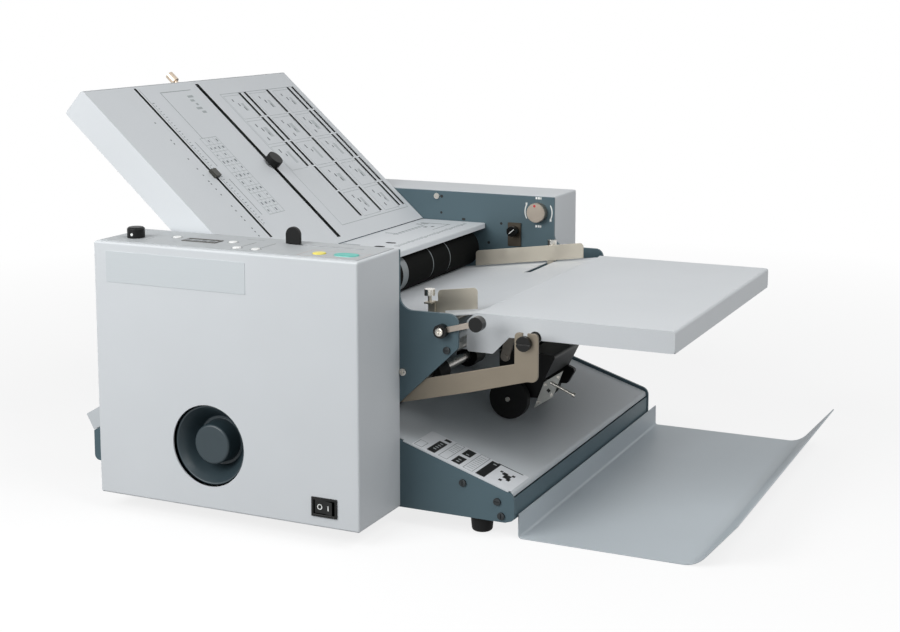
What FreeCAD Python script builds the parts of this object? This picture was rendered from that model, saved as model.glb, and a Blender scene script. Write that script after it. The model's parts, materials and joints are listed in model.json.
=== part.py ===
import FreeCAD, Part
import math
import os

os.makedirs("parts", exist_ok=True)

V = FreeCAD.Vector

# Desktop paper folding machine. Drawn from the front cover's lower right front corner:
# x runs the way folded paper leaves, y runs to the back, z is up. All lengths in millimetres.
overrun = 2.0
hair_gap = 0.3
running_clearance = 0.05
point_tolerance = 0.000001

# Covers and frame plates
cover_length = 280.0
cover_height = 243.0
front_cover_depth = 80.0
rear_cover_depth = 69.0
cover_sheet = 1.5
cover_corner_radius = 2.0
plate_thickness = 3.0
inner_width = 388.0
plate_reveal = 1.0

# Noses of the frame plates beside the feed table, the delivery mouth and the ramp
upper_nose_length = 59.0
upper_nose_top = 187.0
upper_nose_low = 156.0
upper_nose_radius = 9.0
upper_nose_throat_radius = 13.0
mouth_top = 100.0
mouth_bottom = 66.0
mouth_depth = 12.0
mouth_radius = 4.0
lower_nose_length = 114.5
lower_nose_top = 29.0
lower_nose_low = 3.0
lower_nose_radius = 9.0
nose_foot_radius = 5.0
rear_nose_rise = 2.5
tail_length = 69.0
tail_tip_height = 31.0
tail_root_height = 70.0
tail_radius = 6.0

# Base, feet and tie bars
base_thickness = 2.0
base_left_gap = 8.0
base_right_gap = 12.0
foot_height = 16.0
foot_radius = 11.0
foot_taper = 1.5
foot_edge_radius = 3.0
foot_inset_x = 38.5
foot_inset_y = 14.0
bar_radius = 5.0
table_bar_x = 48.0
table_bar_z = 153.5
nose_bar_x = 98.0
nose_bar_z = 19.0
tower_bar_inset = 18.0
tower_bar_gap = 33.5
middle_bar_x = -20.0
middle_bar_z = 34.0
end_plate_thickness = 1.5
end_plate_height = 23.0

# Screws that show
screw_head_radius = 3.4
screw_head_height = 1.8
cover_screw_x = 3.8
cover_screw_z = 129.0
nose_screw_x = 64.0
nose_screw_z = 32.0
foot_screw_x = 102.0
foot_screw_z = 6.0
wall_screw_x = -147.0
wall_screw_z = 236.0

# Upper fold table, a flat case that rises to the left
table_1_angle = 41.7
table_1_foot_x = -165.0
table_1_foot_z = 209.0
table_1_length = 252.6
table_1_thickness = 32.0
table_1_cut_back = 20.0
case_sheet = 1.5
case_side_gap = 1.0
case_corner_radius = 3.0
chute_gap = 3.0
chute_sheet = 1.0
chute_inset = 2.0
chute_side_gap = 0.2
table_peg_radius = 4.0
table_1_peg_place = 215.0
stop_slot_width = 6.5
stop_slot_start = 7.0
stop_slot_end = 245.0
pointer_slot_width = 3.8
pointer_slot_start = 5.0
pointer_slot_end = 223.0
pointer_slot_offset = 111.0
air_slot_width = 4.6
air_slot_start = 26.0
air_slot_end = 229.0
air_slot_rows = 5
air_slot_bridge = 2.2
short_air_slot_rows = 3
air_slot_offset_1 = 63.5
air_slot_offset_2 = 75.0
air_slot_offset_3 = 123.0
air_slot_offset_4 = 170.0
air_slot_offset_5 = 180.5

# Fold stops that slide in the two tables
stop_1_place = 133.0
stop_bar_width = 12.0
stop_bar_height = 6.0
stop_bar_length = 330.0
stop_bar_lift = 1.0
stop_finger_width = 5.0
stop_finger_thickness = 3.0
stop_finger_reach = 0.5
stop_finger_spacing = 70.0
stop_finger_count = 4
stop_spindle_radius = 2.3
stop_pedestal_radius = 4.0
stop_knob_radius = 9.0
stop_knob_height = 8.0
stop_knob_lift = 2.0
stop_knob_edge = 1.5
pointer_length = 10.0
pointer_width = 9.0
pointer_height = 4.0
pointer_stem_thickness = 1.6
fine_screw_radius = 4.5
fine_screw_length = 11.0
fine_screw_stem_radius = 2.2
fine_screw_stem_length = 7.0
fine_screw_side_step = 17.0

# Lower fold table, a thinner case that falls to the left
table_2_angle = 29.9
table_2_length = 182.0
table_2_thickness = 18.0
table_2_mouth_x = -198.7
table_2_mouth_z = 128.7
table_2_slot_end_gap = 16.0
table_2_peg_gap = 32.0
stop_2_place = 74.0

# Fold rollers, their shafts, bushes and gears
roller_pitch_radius = 15.0
roller_skin_gap = 0.2
roller_end_gap = 3.0
nip_reach = 30.0
roller_3_angle = 160.0
roller_4_angle = 250.0
shaft_radius = 5.0
bush_radius = 8.0
bush_flange_radius = 9.5
bush_flange = 1.5
shaft_stub = 1.0
gear_teeth = 20
gear_width = 8.0
gear_gap = 3.0
gear_addendum = 1.35
gear_dedendum = 1.8
tooth_root_share = 0.30
tooth_pitch_share = 0.21
tooth_tip_share = 0.11

# Belt drives
belt_width = 7.0
belt_thickness = 1.5
belt_gap = 0.35
pulley_width = 9.0
feed_belt_gap = 4.0
main_belt_gap = 16.0
delivery_belt_gap = 3.0
motor_pulley_radius = 10.0
roller_pulley_radius = 20.0
feed_drive_pulley_radius = 8.0
feed_pulley_radius = 12.0
exit_drive_pulley_radius = 12.0
exit_pulley_radius = 10.0

# Motor and handwheel
motor_x = -157.0
motor_z = 60.0
motor_radius = 36.0
motor_length = 110.0
motor_flange_radius = 42.0
motor_flange = 5.0
motor_shaft_depth = 22.0
motor_hole_clearance = 2.0
wheel_radius = 37.4
wheel_hole_gap = 1.2
wheel_front_gap = 2.0
wheel_dish_depth = 20.0
wheel_wall = 3.0
wheel_hub_radius = 18.8
wheel_hub_foot_radius = 20.3
wheel_hub_set_back = 2.0
wheel_floor_radius = 23.3
wheel_hub_edge = 1.5
wheel_boss_radius = 9.0
wheel_boss_length = 8.0
wheel_seat_depth = 14.0

# Feed roller over the paper pile
feed_x = -105.0
feed_z = 182.0
feed_roller_radius = 22.0
feed_sleeve_start = 22.0
feed_collar_width = 14.0
feed_band_width = 3.0
feed_band_rise = 0.6
feed_sleeve_1 = 150.0
feed_sleeve_2 = 58.0
feed_sleeve_3 = 40.0
feed_core_radius = 14.0

# Feed table, lift plate and side guides
deck_left_x = 64.0
deck_right_x = 252.0
deck_top_z = 184.0
deck_side_gap = 25.0
deck_sheet = 1.5
deck_flange = 20.0
deck_lip = 8.0
deck_corner_radius = 2.5
wing_left_x = 55.0
wing_low_z = 147.5
wing_low_right_x = 81.0
wing_rise_x = 97.0
wing_radius = 3.0
shaft_notch_radius = 5.6
shaft_bush_proud = 1.0
hook_thickness = 3.0
hook_inset = 22.0
hook_wall = 5.0
hook_right_x = 92.0
hook_shoulder = 2.0
lift_hinge_x = 61.6
lift_barrel_radius = 2.0
lift_sheet = 1.2
lift_left_x = -122.0
lift_roller_gap = 0.5
lift_inset = 4.0
guide_slot_width = 9.0
guide_slot_length = 82.0
guide_bar_x = 12.0
guide_bar_z = 162.0
guide_bar_radius = 4.0
guide_inset = 43.0
guide_sheet = 1.5
guide_lift = 2.0
front_guide_left_x = 18.0
front_guide_right_x = 58.0
front_guide_height = 20.0
rear_guide_left_x = -78.0
rear_guide_right_x = 51.0
rear_guide_height = 17.0
guide_corner_radius = 4.0
guide_hub_radius = 6.5
guide_hub_length = 10.0
guide_leg_width = 7.0
guide_leg_height = 26.0
thumb_radius = 5.0
thumb_height = 6.0
thumb_stem_radius = 1.8
thumb_stem_height = 6.0

# Cover over the rollers, with its hinge
top_cover_z = 208.0
top_cover_left_x = -161.0
top_cover_right_x = -85.0
top_cover_sheet = 1.2
top_cover_lip = 6.0
top_cover_bend_radius = 1.5
top_cover_side_gap = 1.0
top_cover_lap = 0.5
top_cover_hinge_drop = 3.6
top_cover_hinge_radius = 2.0
top_cover_slot_length = 12.0
top_cover_slot_width = 7.0
top_cover_slot_x = -119.0
top_cover_slot_spacing = 26.0
top_cover_slot_shift = 7.0
hinge_pin_radius = 1.0
hinge_pin_length = 5.0
hinge_pin_reach = 1.0

# Delivery: exit rollers, ramp, press wheels on their arms, and the loose tray
ramp_left_x = -60.0
ramp_top_x = -154.0
ramp_top_z = 144.5
ramp_bend_radius = 8.0
ramp_sheet = 1.2
ramp_reveal = 1.0
ramp_end_lip = 5.0
ramp_end_radius = 3.5
ramp_strip_gap = 3.0
exit_shaft_x = -36.0
exit_roller_radius = 12.0
exit_roller_width = 24.0
exit_roller_count = 4
exit_roller_spacing = 90.0
exit_roller_gap = 1.0
arm_sheet = 2.5
arm_tip_x = -4.0
arm_tip_z = 98.0
arm_root_x = 24.0
arm_root_z = 124.0
arm_leg_left_x = 112.5
arm_leg_right_x = 135.0
arm_bend_z = 146.5
arm_top_z = 175.5
arm_low_x = 125.0
arm_low_z = 131.5
arm_mid_x = 71.0
arm_mid_z = 116.5
arm_corner_radius = 4.0
arm_elbow_radius = 6.0
arm_slot_half = 2.2
press_shaft_x = 122.5
press_shaft_z = 166.5
press_shaft_radius = 4.0
press_knob_radius = 6.9
press_knob_height = 5.0
press_knob_slot = 1.6
press_knob_slot_depth = 1.5
press_wheel_x = 46.0
press_wheel_radius = 20.5
press_wheel_width = 9.0
press_wheel_offset = 44.0
press_wheel_gap = 0.4
press_axle_radius = 2.5
press_axle_proud = 2.0
carrier_arm_offset = 33.0
carrier_arm_thickness = 5.0
carrier_pivot_x = 38.0
carrier_pivot_z = 112.0
carrier_hub_radius = 6.5
carrier_pin_radius = 2.5
carrier_pin_proud = 1.0
carrier_axle_boss_radius = 6.0
carrier_left_x = 31.0
carrier_right_x = 92.0
carrier_top_z = 118.0
carrier_tail_x = 79.0
carrier_tail_z = 92.0
carrier_heel_z = 103.0
carrier_tab_x = 88.0
carrier_tab_z = 88.5
carrier_toe_x = 79.0
carrier_toe_z = 73.0
carrier_block_left_x = 60.0
carrier_corner_radius = 3.0
hanger_sheet = 2.0
hanger_top_half = 6.0
hanger_low_half = 5.0
hanger_ring_wall = 3.0
bracket_sheet = 1.2
bracket_top_x = 79.5
bracket_top_z = 90.0
bracket_run_x = 20.0
bracket_run_z = 13.5
bracket_fall_x = -10.5
bracket_fall_z = -27.5
bracket_rivet_share = 0.16
rivet_radius = 1.6
rivet_height = 0.9
finger_rod_radius = 1.4
finger_rod_seat = 0.5
finger_rod_x = 87.0
finger_rod_z = 90.5
finger_rod_length = 25.0
finger_rod_angle = 22.0
finger_bead_radius = 2.4
finger_bead_length = 3.0
tray_left_gap = 0.5
tray_front_y = 88.0
tray_width = 409.0
tray_wall_height = 23.0
tray_floor_length = 165.0
tray_flap_length = 54.0
tray_flap_angle = 49.0
tray_bend_radius = 26.0
tray_fold_radius = 2.5
tray_sheet = 1.2

# Switch, buttons, knobs and levers
panel_sheet = 0.6
panel_left_gap = 3.0
panel_right_gap = 4.0
panel_front_gap = 7.0
panel_back_gap = 2.0
switch_x = -35.0
switch_z = 19.0
switch_width = 26.0
switch_height = 18.0
switch_bezel = 1.5
switch_body_width = 23.0
switch_body_height = 15.0
switch_body_depth = 18.0
rocker_width = 19.0
rocker_height = 12.4
rocker_room = 21.4
rocker_room_depth = 12.0
rocker_tilt = 7.0
rocker_face = 5.5
rocker_valley = 4.3
rocker_waist = 1.0
rocker_keel = 5.0
rocker_pivot_y = 4.0
display_inset = 95.5
display_y = 39.0
display_width = 37.0
display_depth = 15.0
display_rise = 0.8
display_wall = 2.0
button_radius = 4.0
button_rise = 1.0
button_stem = 7.0
button_flange = 1.2
button_flange_rise = 1.0
button_drop = 2.0
button_1_inset = 62.0
button_1_y = 47.0
button_2_inset = 126.0
button_2_y = 44.0
button_3_inset = 146.0
button_3_y = 19.0
button_4_inset = 166.0
button_4_y = 19.0
stop_button_x = -51.0
stop_button_y = 24.0
stop_button_radius = 6.0
start_button_x = -24.0
start_button_y = 25.0
start_button_length = 23.0
start_button_width = 16.0
control_knob_inset = 27.0
control_knob_y = 30.0
control_knob_radius = 8.4
control_knob_height = 10.0
control_stem_radius = 3.0
control_stem_length = 8.0
lever_start_x = -98.0
lever_y = 59.0
lever_travel = 70.0
lever_width = 15.0
lever_height = 16.0
lever_thickness = 4.0
lever_stem_width = 7.0
lever_stem_length = 9.0
lever_foot_width = 12.0
lever_foot_height = 3.0
clamp_x = 44.0
clamp_z = 171.5
clamp_boss_radius = 6.3
clamp_boss_height = 7.5
clamp_arm_width = 5.0
clamp_arm_thickness = 3.0
clamp_knob_x = 80.0
clamp_knob_z = 181.5
clamp_knob_radius = 6.8
clamp_knob_height = 9.0
clamp_screw_radius = 2.2
clamp_screw_height = 1.5
pressure_x = -19.0
pressure_z = 224.5
pressure_knob_radius = 11.0
pressure_knob_height = 9.0
pressure_groove_depth = 0.8
pressure_groove_count = 24
pressure_stem_radius = 4.0
catch_x = -48.0
catch_z = 201.5
catch_plate_width = 16.0
catch_plate_height = 27.0
catch_plate_sheet = 2.0
catch_plate_drop = 18.0
catch_knob_radius = 6.0
catch_knob_height = 9.0
inlet_back_gap = 4.5
inlet_z = 50.0
inlet_width = 21.0
inlet_height = 27.0
inlet_depth = 16.0
inlet_wall = 2.0
inlet_pin_width = 4.0
inlet_pin_thickness = 2.0
inlet_pin_length = 8.0
inlet_pin_spacing = 7.0

# Places worked out from the sizes above
front_plate_y = front_cover_depth
inner_front_y = front_plate_y + plate_thickness
inner_rear_y = inner_front_y + inner_width
rear_plate_back_y = inner_rear_y + plate_thickness
back_y = rear_plate_back_y + rear_cover_depth
centre_y = (inner_front_y + inner_rear_y) / 2

sin_1 = math.sin(math.radians(table_1_angle))
cos_1 = math.cos(math.radians(table_1_angle))
table_1_top_x = table_1_foot_x - table_1_length * cos_1
table_1_top_z = table_1_foot_z + table_1_length * sin_1
nip_x = table_1_foot_x - table_1_thickness / 2 * sin_1 + nip_reach * cos_1
nip_z = table_1_foot_z - table_1_thickness / 2 * cos_1 - nip_reach * sin_1
roller_1 = (nip_x + roller_pitch_radius * sin_1, nip_z + roller_pitch_radius * cos_1)
roller_2 = (nip_x - roller_pitch_radius * sin_1, nip_z - roller_pitch_radius * cos_1)
roller_1_angle = 90.0 - table_1_angle


def around(place, angle, radius):
    return (place[0] + radius * math.cos(math.radians(angle)),
            place[1] + radius * math.sin(math.radians(angle)))


roller_3 = around(roller_2, roller_3_angle, 2 * roller_pitch_radius)
roller_4 = around(roller_2, roller_4_angle, 2 * roller_pitch_radius)
feed_place = (feed_x, feed_z)
motor_place = (motor_x, motor_z)


def ramp_z(x):
    slope = (lower_nose_top - mouth_bottom) / lower_nose_length
    return mouth_bottom + slope * x - ramp_reveal


ramp_angle = math.atan((mouth_bottom - lower_nose_top) / lower_nose_length)
exit_rise = (exit_roller_radius + exit_roller_gap) / math.cos(ramp_angle)
exit_place = (exit_shaft_x, ramp_z(exit_shaft_x) + exit_rise)
press_wheel_z = ramp_z(press_wheel_x) + (press_wheel_radius + press_wheel_gap) / math.cos(ramp_angle)
gear_front_y = rear_plate_back_y + gear_gap
gear_back_y = gear_front_y + gear_width
exit_belt_y = gear_back_y + delivery_belt_gap
feed_belt_y = front_plate_y - feed_belt_gap - pulley_width
main_belt_y = front_plate_y - main_belt_gap - pulley_width
deck_front_y = inner_front_y + deck_side_gap
deck_rear_y = inner_rear_y - deck_side_gap
lift_top_at_roller = feed_z - feed_roller_radius - lift_roller_gap
lift_slope = (deck_top_z - deck_sheet - lift_top_at_roller) / (lift_hinge_x - feed_x)


def lift_z(x):
    return lift_top_at_roller + lift_slope * (x - feed_x)


tray_left_x = lower_nose_length + tray_left_gap
tray_sin = math.sin(math.radians(tray_flap_angle))
tray_cos = math.cos(math.radians(tray_flap_angle))
tray_tip_x = tray_left_x + tray_floor_length + tray_flap_length * tray_cos
fine_screw_n = -table_1_thickness / 4
under_table_1_x = table_1_top_x - table_1_thickness * sin_1
under_table_1_z = table_1_top_z - table_1_thickness * cos_1
tower_bar_x = -cover_length + tower_bar_inset
tower_bar_top_z = under_table_1_z - (tower_bar_x - under_table_1_x) * sin_1 / cos_1 - tower_bar_gap
tower_bar_z = tower_bar_top_z - bar_radius
table_2_end_x = table_2_mouth_x - table_2_length * math.cos(math.radians(table_2_angle))
table_2_end_z = table_2_mouth_z - table_2_length * math.sin(math.radians(table_2_angle))
table_2_peg_place = table_2_length - table_2_peg_gap

# The origin is put under the middle of the whole machine, on the surface that it stands on.
left_end_x = (table_1_top_x - (fine_screw_stem_length + fine_screw_length) * cos_1
              + (fine_screw_n - fine_screw_radius) * sin_1)
right_end_x = tray_tip_x + tray_sheet * tray_sin
rocker_sin = math.sin(math.radians(rocker_tilt))
rocker_cos = math.cos(math.radians(rocker_tilt))
front_end_y = rocker_pivot_y - rocker_width / 2 * rocker_sin - rocker_face * rocker_cos
origin_shift = V(-(left_end_x + right_end_x) / 2, -(front_end_y + back_y) / 2, foot_height)


# Shapes that many pieces are made from
def block(x0, x1, y0, y1, z0, z1):
    return Part.makeBox(x1 - x0, y1 - y0, z1 - z0, V(x0, y0, z0))


def rod_y(place, radius, y0, y1):
    return Part.makeCylinder(radius, y1 - y0, V(place[0], y0, place[1]), V(0, 1, 0))


def rod_z(x, y, radius, z0, z1):
    return Part.makeCylinder(radius, z1 - z0, V(x, y, z0))


def ring_y(place, outer, inner, y0, y1):
    return rod_y(place, outer, y0, y1).cut(rod_y(place, inner, y0 - overrun, y1 + overrun))


def outline(corners):
    """Closed face in the x-z plane; each corner is (x, z) or (x, z, rounding radius)."""
    points = [V(c[0], 0, c[1]) for c in corners]
    radii = [c[2] if len(c) > 2 else 0.0 for c in corners]
    count = len(points)
    starts, ends, middles = [], [], []
    for i in range(count):
        here = points[i]
        back = (points[i - 1] - here).normalize()
        on = (points[(i + 1) % count] - here).normalize()
        half = back.getAngle(on) / 2
        if radii[i] == 0 or half > math.radians(89.9):
            starts.append(here)
            ends.append(here)
            middles.append(None)
            continue
        reach = radii[i] / math.tan(half)
        starts.append(here + back * reach)
        ends.append(here + on * reach)
        centre = here + (back + on).normalize() * (radii[i] / math.sin(half))
        middles.append(centre + (here - centre).normalize() * radii[i])
    edges = []
    for i in range(count):
        if middles[i] is not None:
            edges.append(Part.Arc(starts[i], middles[i], ends[i]).toShape())
        following = starts[(i + 1) % count]
        if (following - ends[i]).Length > point_tolerance:
            edges.append(Part.LineSegment(ends[i], following).toShape())
    return Part.Face(Part.Wire(edges))


def slab(corners, y0, y1):
    face = outline(corners)
    face.translate(V(0, y0, 0))
    return face.extrude(V(0, y1 - y0, 0))


def bent_sheet(path, thickness):
    """Corners of a bent strip; the path is its upper or left side, the sheet lies to the right of it."""
    points = [V(p[0], 0, p[1]) for p in path]
    radii = [p[2] if len(p) > 2 else 0.0 for p in path]
    rights = []
    for i in range(len(points) - 1):
        way = (points[i + 1] - points[i]).normalize()
        rights.append(V(way.z, 0, -way.x))
    far = []
    for i, point in enumerate(points):
        before = rights[max(i - 1, 0)]
        after = rights[min(i, len(rights) - 1)]
        offset = (before + after) * (thickness / (1 + before.dot(after)))
        turn_right = after.x * before.z - after.z * before.x > 0
        radius = 0.0
        if radii[i]:
            radius = radii[i] - thickness if turn_right else radii[i] + thickness
        far.append((point.x + offset.x, point.z + offset.z, radius))
    near = [(p.x, p.z, r) for p, r in zip(points, radii)]
    return near + far[::-1]


def mirrored(shape):
    return shape.mirror(V(0, centre_y, 0), V(0, 1, 0))


def fused(shapes):
    whole = shapes[0]
    for shape in shapes[1:]:
        whole = whole.fuse(shape)
    return whole.removeSplitter()


def cut_all(shape, tools):
    for tool in tools:
        shape = shape.cut(tool)
    return shape


def save(node, *pieces):
    solids = []
    for piece in pieces:
        for solid in piece.Solids:
            moved = solid.copy()
            moved.translate(origin_shift)
            solids.append(moved)
    for solid in solids:
        if not solid.isValid() or solid.Volume <= 0:
            print("not a good solid:", node)
    shape = solids[0] if len(solids) == 1 else Part.makeCompound(solids)
    shape.exportStep("parts/" + node + ".step")


# Frame: two side plates, the bars between them, base, end plate, feet and screws
shaft_places = [roller_1, roller_2, roller_3, roller_4, feed_place, exit_place]
bar_places = [(table_bar_x, table_bar_z), (nose_bar_x, nose_bar_z),
              (tower_bar_x, tower_bar_z), (middle_bar_x, middle_bar_z)]
guide_bar_place = (guide_bar_x, guide_bar_z)


def frame_plate(y0, nose_shift):
    corners = [
        (-cover_length, cover_height - plate_reveal),
        (0, cover_height - plate_reveal),
        (0, upper_nose_top, upper_nose_throat_radius),
        (upper_nose_length, upper_nose_top, upper_nose_radius),
        (upper_nose_length, upper_nose_low, mouth_radius),
        (0, mouth_top),
        (-mouth_depth, mouth_top, mouth_radius),
        (-mouth_depth, mouth_bottom + nose_shift, mouth_radius),
        (0, mouth_bottom + nose_shift),
        (lower_nose_length, lower_nose_top + nose_shift, lower_nose_radius),
        (lower_nose_length, lower_nose_low, nose_foot_radius),
        (lower_nose_length - lower_nose_radius, 0),
        (-cover_length - tail_length, 0, tail_radius),
        (-cover_length - tail_length, tail_tip_height),
        (-cover_length, tail_root_height),
    ]
    plate = slab(corners, y0, y0 + plate_thickness)
    holes = [rod_y(place, bush_radius, y0 - overrun, y0 + plate_thickness + overrun)
             for place in shaft_places]
    return cut_all(plate, holes)


ramp_upright = ramp_sheet / math.cos(ramp_angle)
front_plate = frame_plate(front_plate_y, -ramp_reveal - ramp_upright)
motor_hole = rod_y(motor_place, shaft_radius + motor_hole_clearance,
                   front_plate_y - overrun, inner_front_y + overrun)
front_plate = front_plate.cut(motor_hole)
clamp_hole = rod_y((clamp_x, clamp_z), clamp_screw_radius + running_clearance,
                   front_plate_y - overrun, inner_front_y + overrun)
front_plate = front_plate.cut(clamp_hole)
save("front_frame_plate", front_plate)

rear_plate = frame_plate(inner_rear_y, rear_nose_rise)
for place in [(pressure_x, pressure_z), (catch_x, catch_z)]:
    stem_hole = rod_y(place, pressure_stem_radius + running_clearance,
                      inner_rear_y - overrun, rear_plate_back_y + overrun)
    rear_plate = rear_plate.cut(stem_hole)
save("rear_frame_plate", rear_plate)

bars = [rod_y(place, bar_radius, inner_front_y, inner_rear_y) for place in bar_places]
bars.append(rod_y(guide_bar_place, guide_bar_radius, inner_front_y, inner_rear_y))
save("tie_bars", *bars)

base_left_x = -cover_length - tail_length + base_left_gap
base_right_x = lower_nose_length - base_right_gap
base = block(base_left_x, base_right_x, inner_front_y, inner_rear_y, 0, base_thickness)
end_plate_x = lower_nose_length - end_plate_thickness - plate_reveal
end_plate = block(end_plate_x, end_plate_x + end_plate_thickness, inner_front_y, inner_rear_y,
                  lower_nose_low, end_plate_height)
save("base_plates", base, end_plate)

feet = []
for foot_x in (lower_nose_length - foot_inset_x, -cover_length - tail_length + foot_inset_x):
    for foot_y in (inner_front_y + foot_inset_y, inner_rear_y - foot_inset_y):
        foot = Part.makeCone(foot_radius - foot_taper, foot_radius, foot_height, V(foot_x, foot_y, -foot_height))
        low_edges = [edge for edge in foot.Edges if edge.BoundBox.ZMax < -foot_height + hair_gap]
        feet.append(foot.makeFillet(foot_edge_radius, low_edges))
save("rubber_feet", *feet)


def screw_head(x, z, y_face, way):
    """A pan head on a face across y; way is -1 when it faces the operator."""
    length = screw_head_height
    start = y_face if way > 0 else y_face - length
    return rod_y((x, z), screw_head_radius, start, start + length)


screws = []
for x, z in [(nose_screw_x, nose_screw_z), (nose_bar_x, nose_bar_z), (foot_screw_x, foot_screw_z),
             (table_bar_x, table_bar_z), (cover_screw_x, cover_screw_z)]:
    screws.append(screw_head(x, z, front_plate_y, -1))
    screws.append(screw_head(x, z, rear_plate_back_y, 1))
screws.append(screw_head(wall_screw_x, wall_screw_z, inner_rear_y, -1))

bushes = []
for place in shaft_places:
    flange_y = front_plate_y - bush_flange
    bush = fused([rod_y(place, bush_flange_radius, flange_y, front_plate_y),
                  rod_y(place, bush_radius, front_plate_y, inner_front_y)])
    bush = bush.cut(rod_y(place, shaft_radius + running_clearance, flange_y - overrun, inner_front_y + overrun))
    bushes.append(bush)
    bushes.append(mirrored(bush))
save("shaft_bushes", *bushes)


# Covers: painted steel shells, open towards the frame plates
def cover_shell(y0, y1, open_y):
    outer = block(-cover_length, 0, y0, y1, 0, cover_height)
    y_in0 = y0 + cover_sheet if open_y != y0 else y0 - overrun
    y_in1 = y1 - cover_sheet if open_y != y1 else y1 + overrun
    inner = block(-cover_length + cover_sheet, -cover_sheet, y_in0, y_in1,
                  cover_sheet, cover_height - cover_sheet)
    closed_y = y0 if open_y == y1 else y1
    rounded = [edge for edge in outer.Edges
               if abs(edge.BoundBox.YMin - edge.BoundBox.YMax) > overrun
               or abs(edge.BoundBox.YMin - closed_y) < hair_gap]
    return outer.makeFillet(cover_corner_radius, rounded).cut(inner)


panel_left_x = -cover_length + panel_left_gap
panel_right_x = -panel_right_gap
panel_z = cover_height + panel_sheet
display_x = -cover_length + display_inset
control_knob_x = -cover_length + control_knob_inset
buttons = [(-cover_length + button_1_inset, button_1_y), (-cover_length + button_2_inset, button_2_y),
           (-cover_length + button_3_inset, button_3_y), (-cover_length + button_4_inset, button_4_y)]
top_low_z = cover_height - cover_sheet - overrun
top_high_z = panel_z + overrun


def oval_z(x, y, length, width, z0, z1):
    straight = (length - width) / 2
    return fused([block(x - straight, x + straight, y - width / 2, y + width / 2, z0, z1),
                  rod_z(x - straight, y, width / 2, z0, z1), rod_z(x + straight, y, width / 2, z0, z1)])


panel_holes = [rod_z(x, y, button_radius + hair_gap, top_low_z, top_high_z) for x, y in buttons]
panel_holes.append(rod_z(stop_button_x, stop_button_y, stop_button_radius + hair_gap, top_low_z, top_high_z))
panel_holes.append(oval_z(start_button_x, start_button_y, start_button_length + 2 * hair_gap,
                          start_button_width + 2 * hair_gap, top_low_z, top_high_z))
panel_holes.append(rod_z(control_knob_x, control_knob_y, control_stem_radius + running_clearance,
                         top_low_z, top_high_z))
lever_slot_end_x = lever_start_x + lever_travel
panel_holes.append(block(lever_start_x - lever_stem_width / 2 - hair_gap,
                         lever_slot_end_x + lever_stem_width / 2 + hair_gap,
                         lever_y - lever_thickness / 2 - hair_gap,
                         lever_y + lever_thickness / 2 + hair_gap, top_low_z, top_high_z))

front_cover = cover_shell(0, front_cover_depth, front_cover_depth)
front_cover = front_cover.cut(rod_y(motor_place, wheel_radius + wheel_hole_gap, -overrun, cover_sheet + overrun))
front_cover = front_cover.cut(block(switch_x - switch_body_width / 2, switch_x + switch_body_width / 2,
                                    -overrun, cover_sheet + overrun,
                                    switch_z - switch_body_height / 2, switch_z + switch_body_height / 2))
front_cover = cut_all(front_cover, panel_holes)
save("front_cover", front_cover)

rear_cover = cover_shell(rear_plate_back_y, back_y, rear_plate_back_y)
inlet_y = back_y - inlet_back_gap - inlet_width / 2
inlet_gap = block(-cover_sheet - overrun, overrun, inlet_y - inlet_width / 2, inlet_y + inlet_width / 2,
                  inlet_z - inlet_height / 2, inlet_z + inlet_height / 2)
save("rear_cover", rear_cover.cut(inlet_gap))

inlet = block(-inlet_depth, 0, inlet_y - inlet_width / 2, inlet_y + inlet_width / 2,
              inlet_z - inlet_height / 2, inlet_z + inlet_height / 2)
inlet = inlet.cut(block(-inlet_depth + inlet_wall, overrun,
                        inlet_y - inlet_width / 2 + inlet_wall, inlet_y + inlet_width / 2 - inlet_wall,
                        inlet_z - inlet_height / 2 + inlet_wall, inlet_z + inlet_height / 2 - inlet_wall))
inlet_pins = []
for step in (-1, 0, 1):
    pin_z = inlet_z + step * inlet_pin_spacing
    pin_x = -inlet_depth + inlet_wall
    inlet_pins.append(block(pin_x, pin_x + inlet_pin_length,
                            inlet_y - inlet_pin_width / 2, inlet_y + inlet_pin_width / 2,
                            pin_z - inlet_pin_thickness / 2, pin_z + inlet_pin_thickness / 2))
save("power_inlet", inlet, *inlet_pins)

panel = block(panel_left_x, panel_right_x, panel_front_gap, front_cover_depth - panel_back_gap,
              cover_height, panel_z)
panel = cut_all(panel, panel_holes)
display = block(display_x - display_width / 2, display_x + display_width / 2,
                display_y - display_depth / 2, display_y + display_depth / 2, panel_z, panel_z + display_rise)
display = display.cut(block(display_x - display_width / 2 + display_wall, display_x + display_width / 2 - display_wall,
                            display_y - display_depth / 2 + display_wall, display_y + display_depth / 2 - display_wall,
                            panel_z, panel_z + display_rise + overrun))
save("control_panel", panel, display)

# Buttons, each with a flange that keeps it under the cover's top
button_low_z = cover_height - cover_sheet - button_stem
flange_z = cover_height - cover_sheet - hair_gap - button_flange


def round_button(x, y, radius):
    return fused([rod_z(x, y, radius, button_low_z, panel_z + button_rise),
                  rod_z(x, y, radius + button_flange_rise, flange_z, flange_z + button_flange)])


for number, (x, y) in enumerate(buttons, 1):
    save("panel_button_" + str(number), round_button(x, y, button_radius))
save("stop_button", round_button(stop_button_x, stop_button_y, stop_button_radius))
start_button = fused([
    oval_z(start_button_x, start_button_y, start_button_length, start_button_width,
           button_low_z, panel_z + button_rise),
    oval_z(start_button_x, start_button_y, start_button_length + 2 * button_flange_rise,
           start_button_width + 2 * button_flange_rise, flange_z, flange_z + button_flange)])
save("start_button", start_button)

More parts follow.
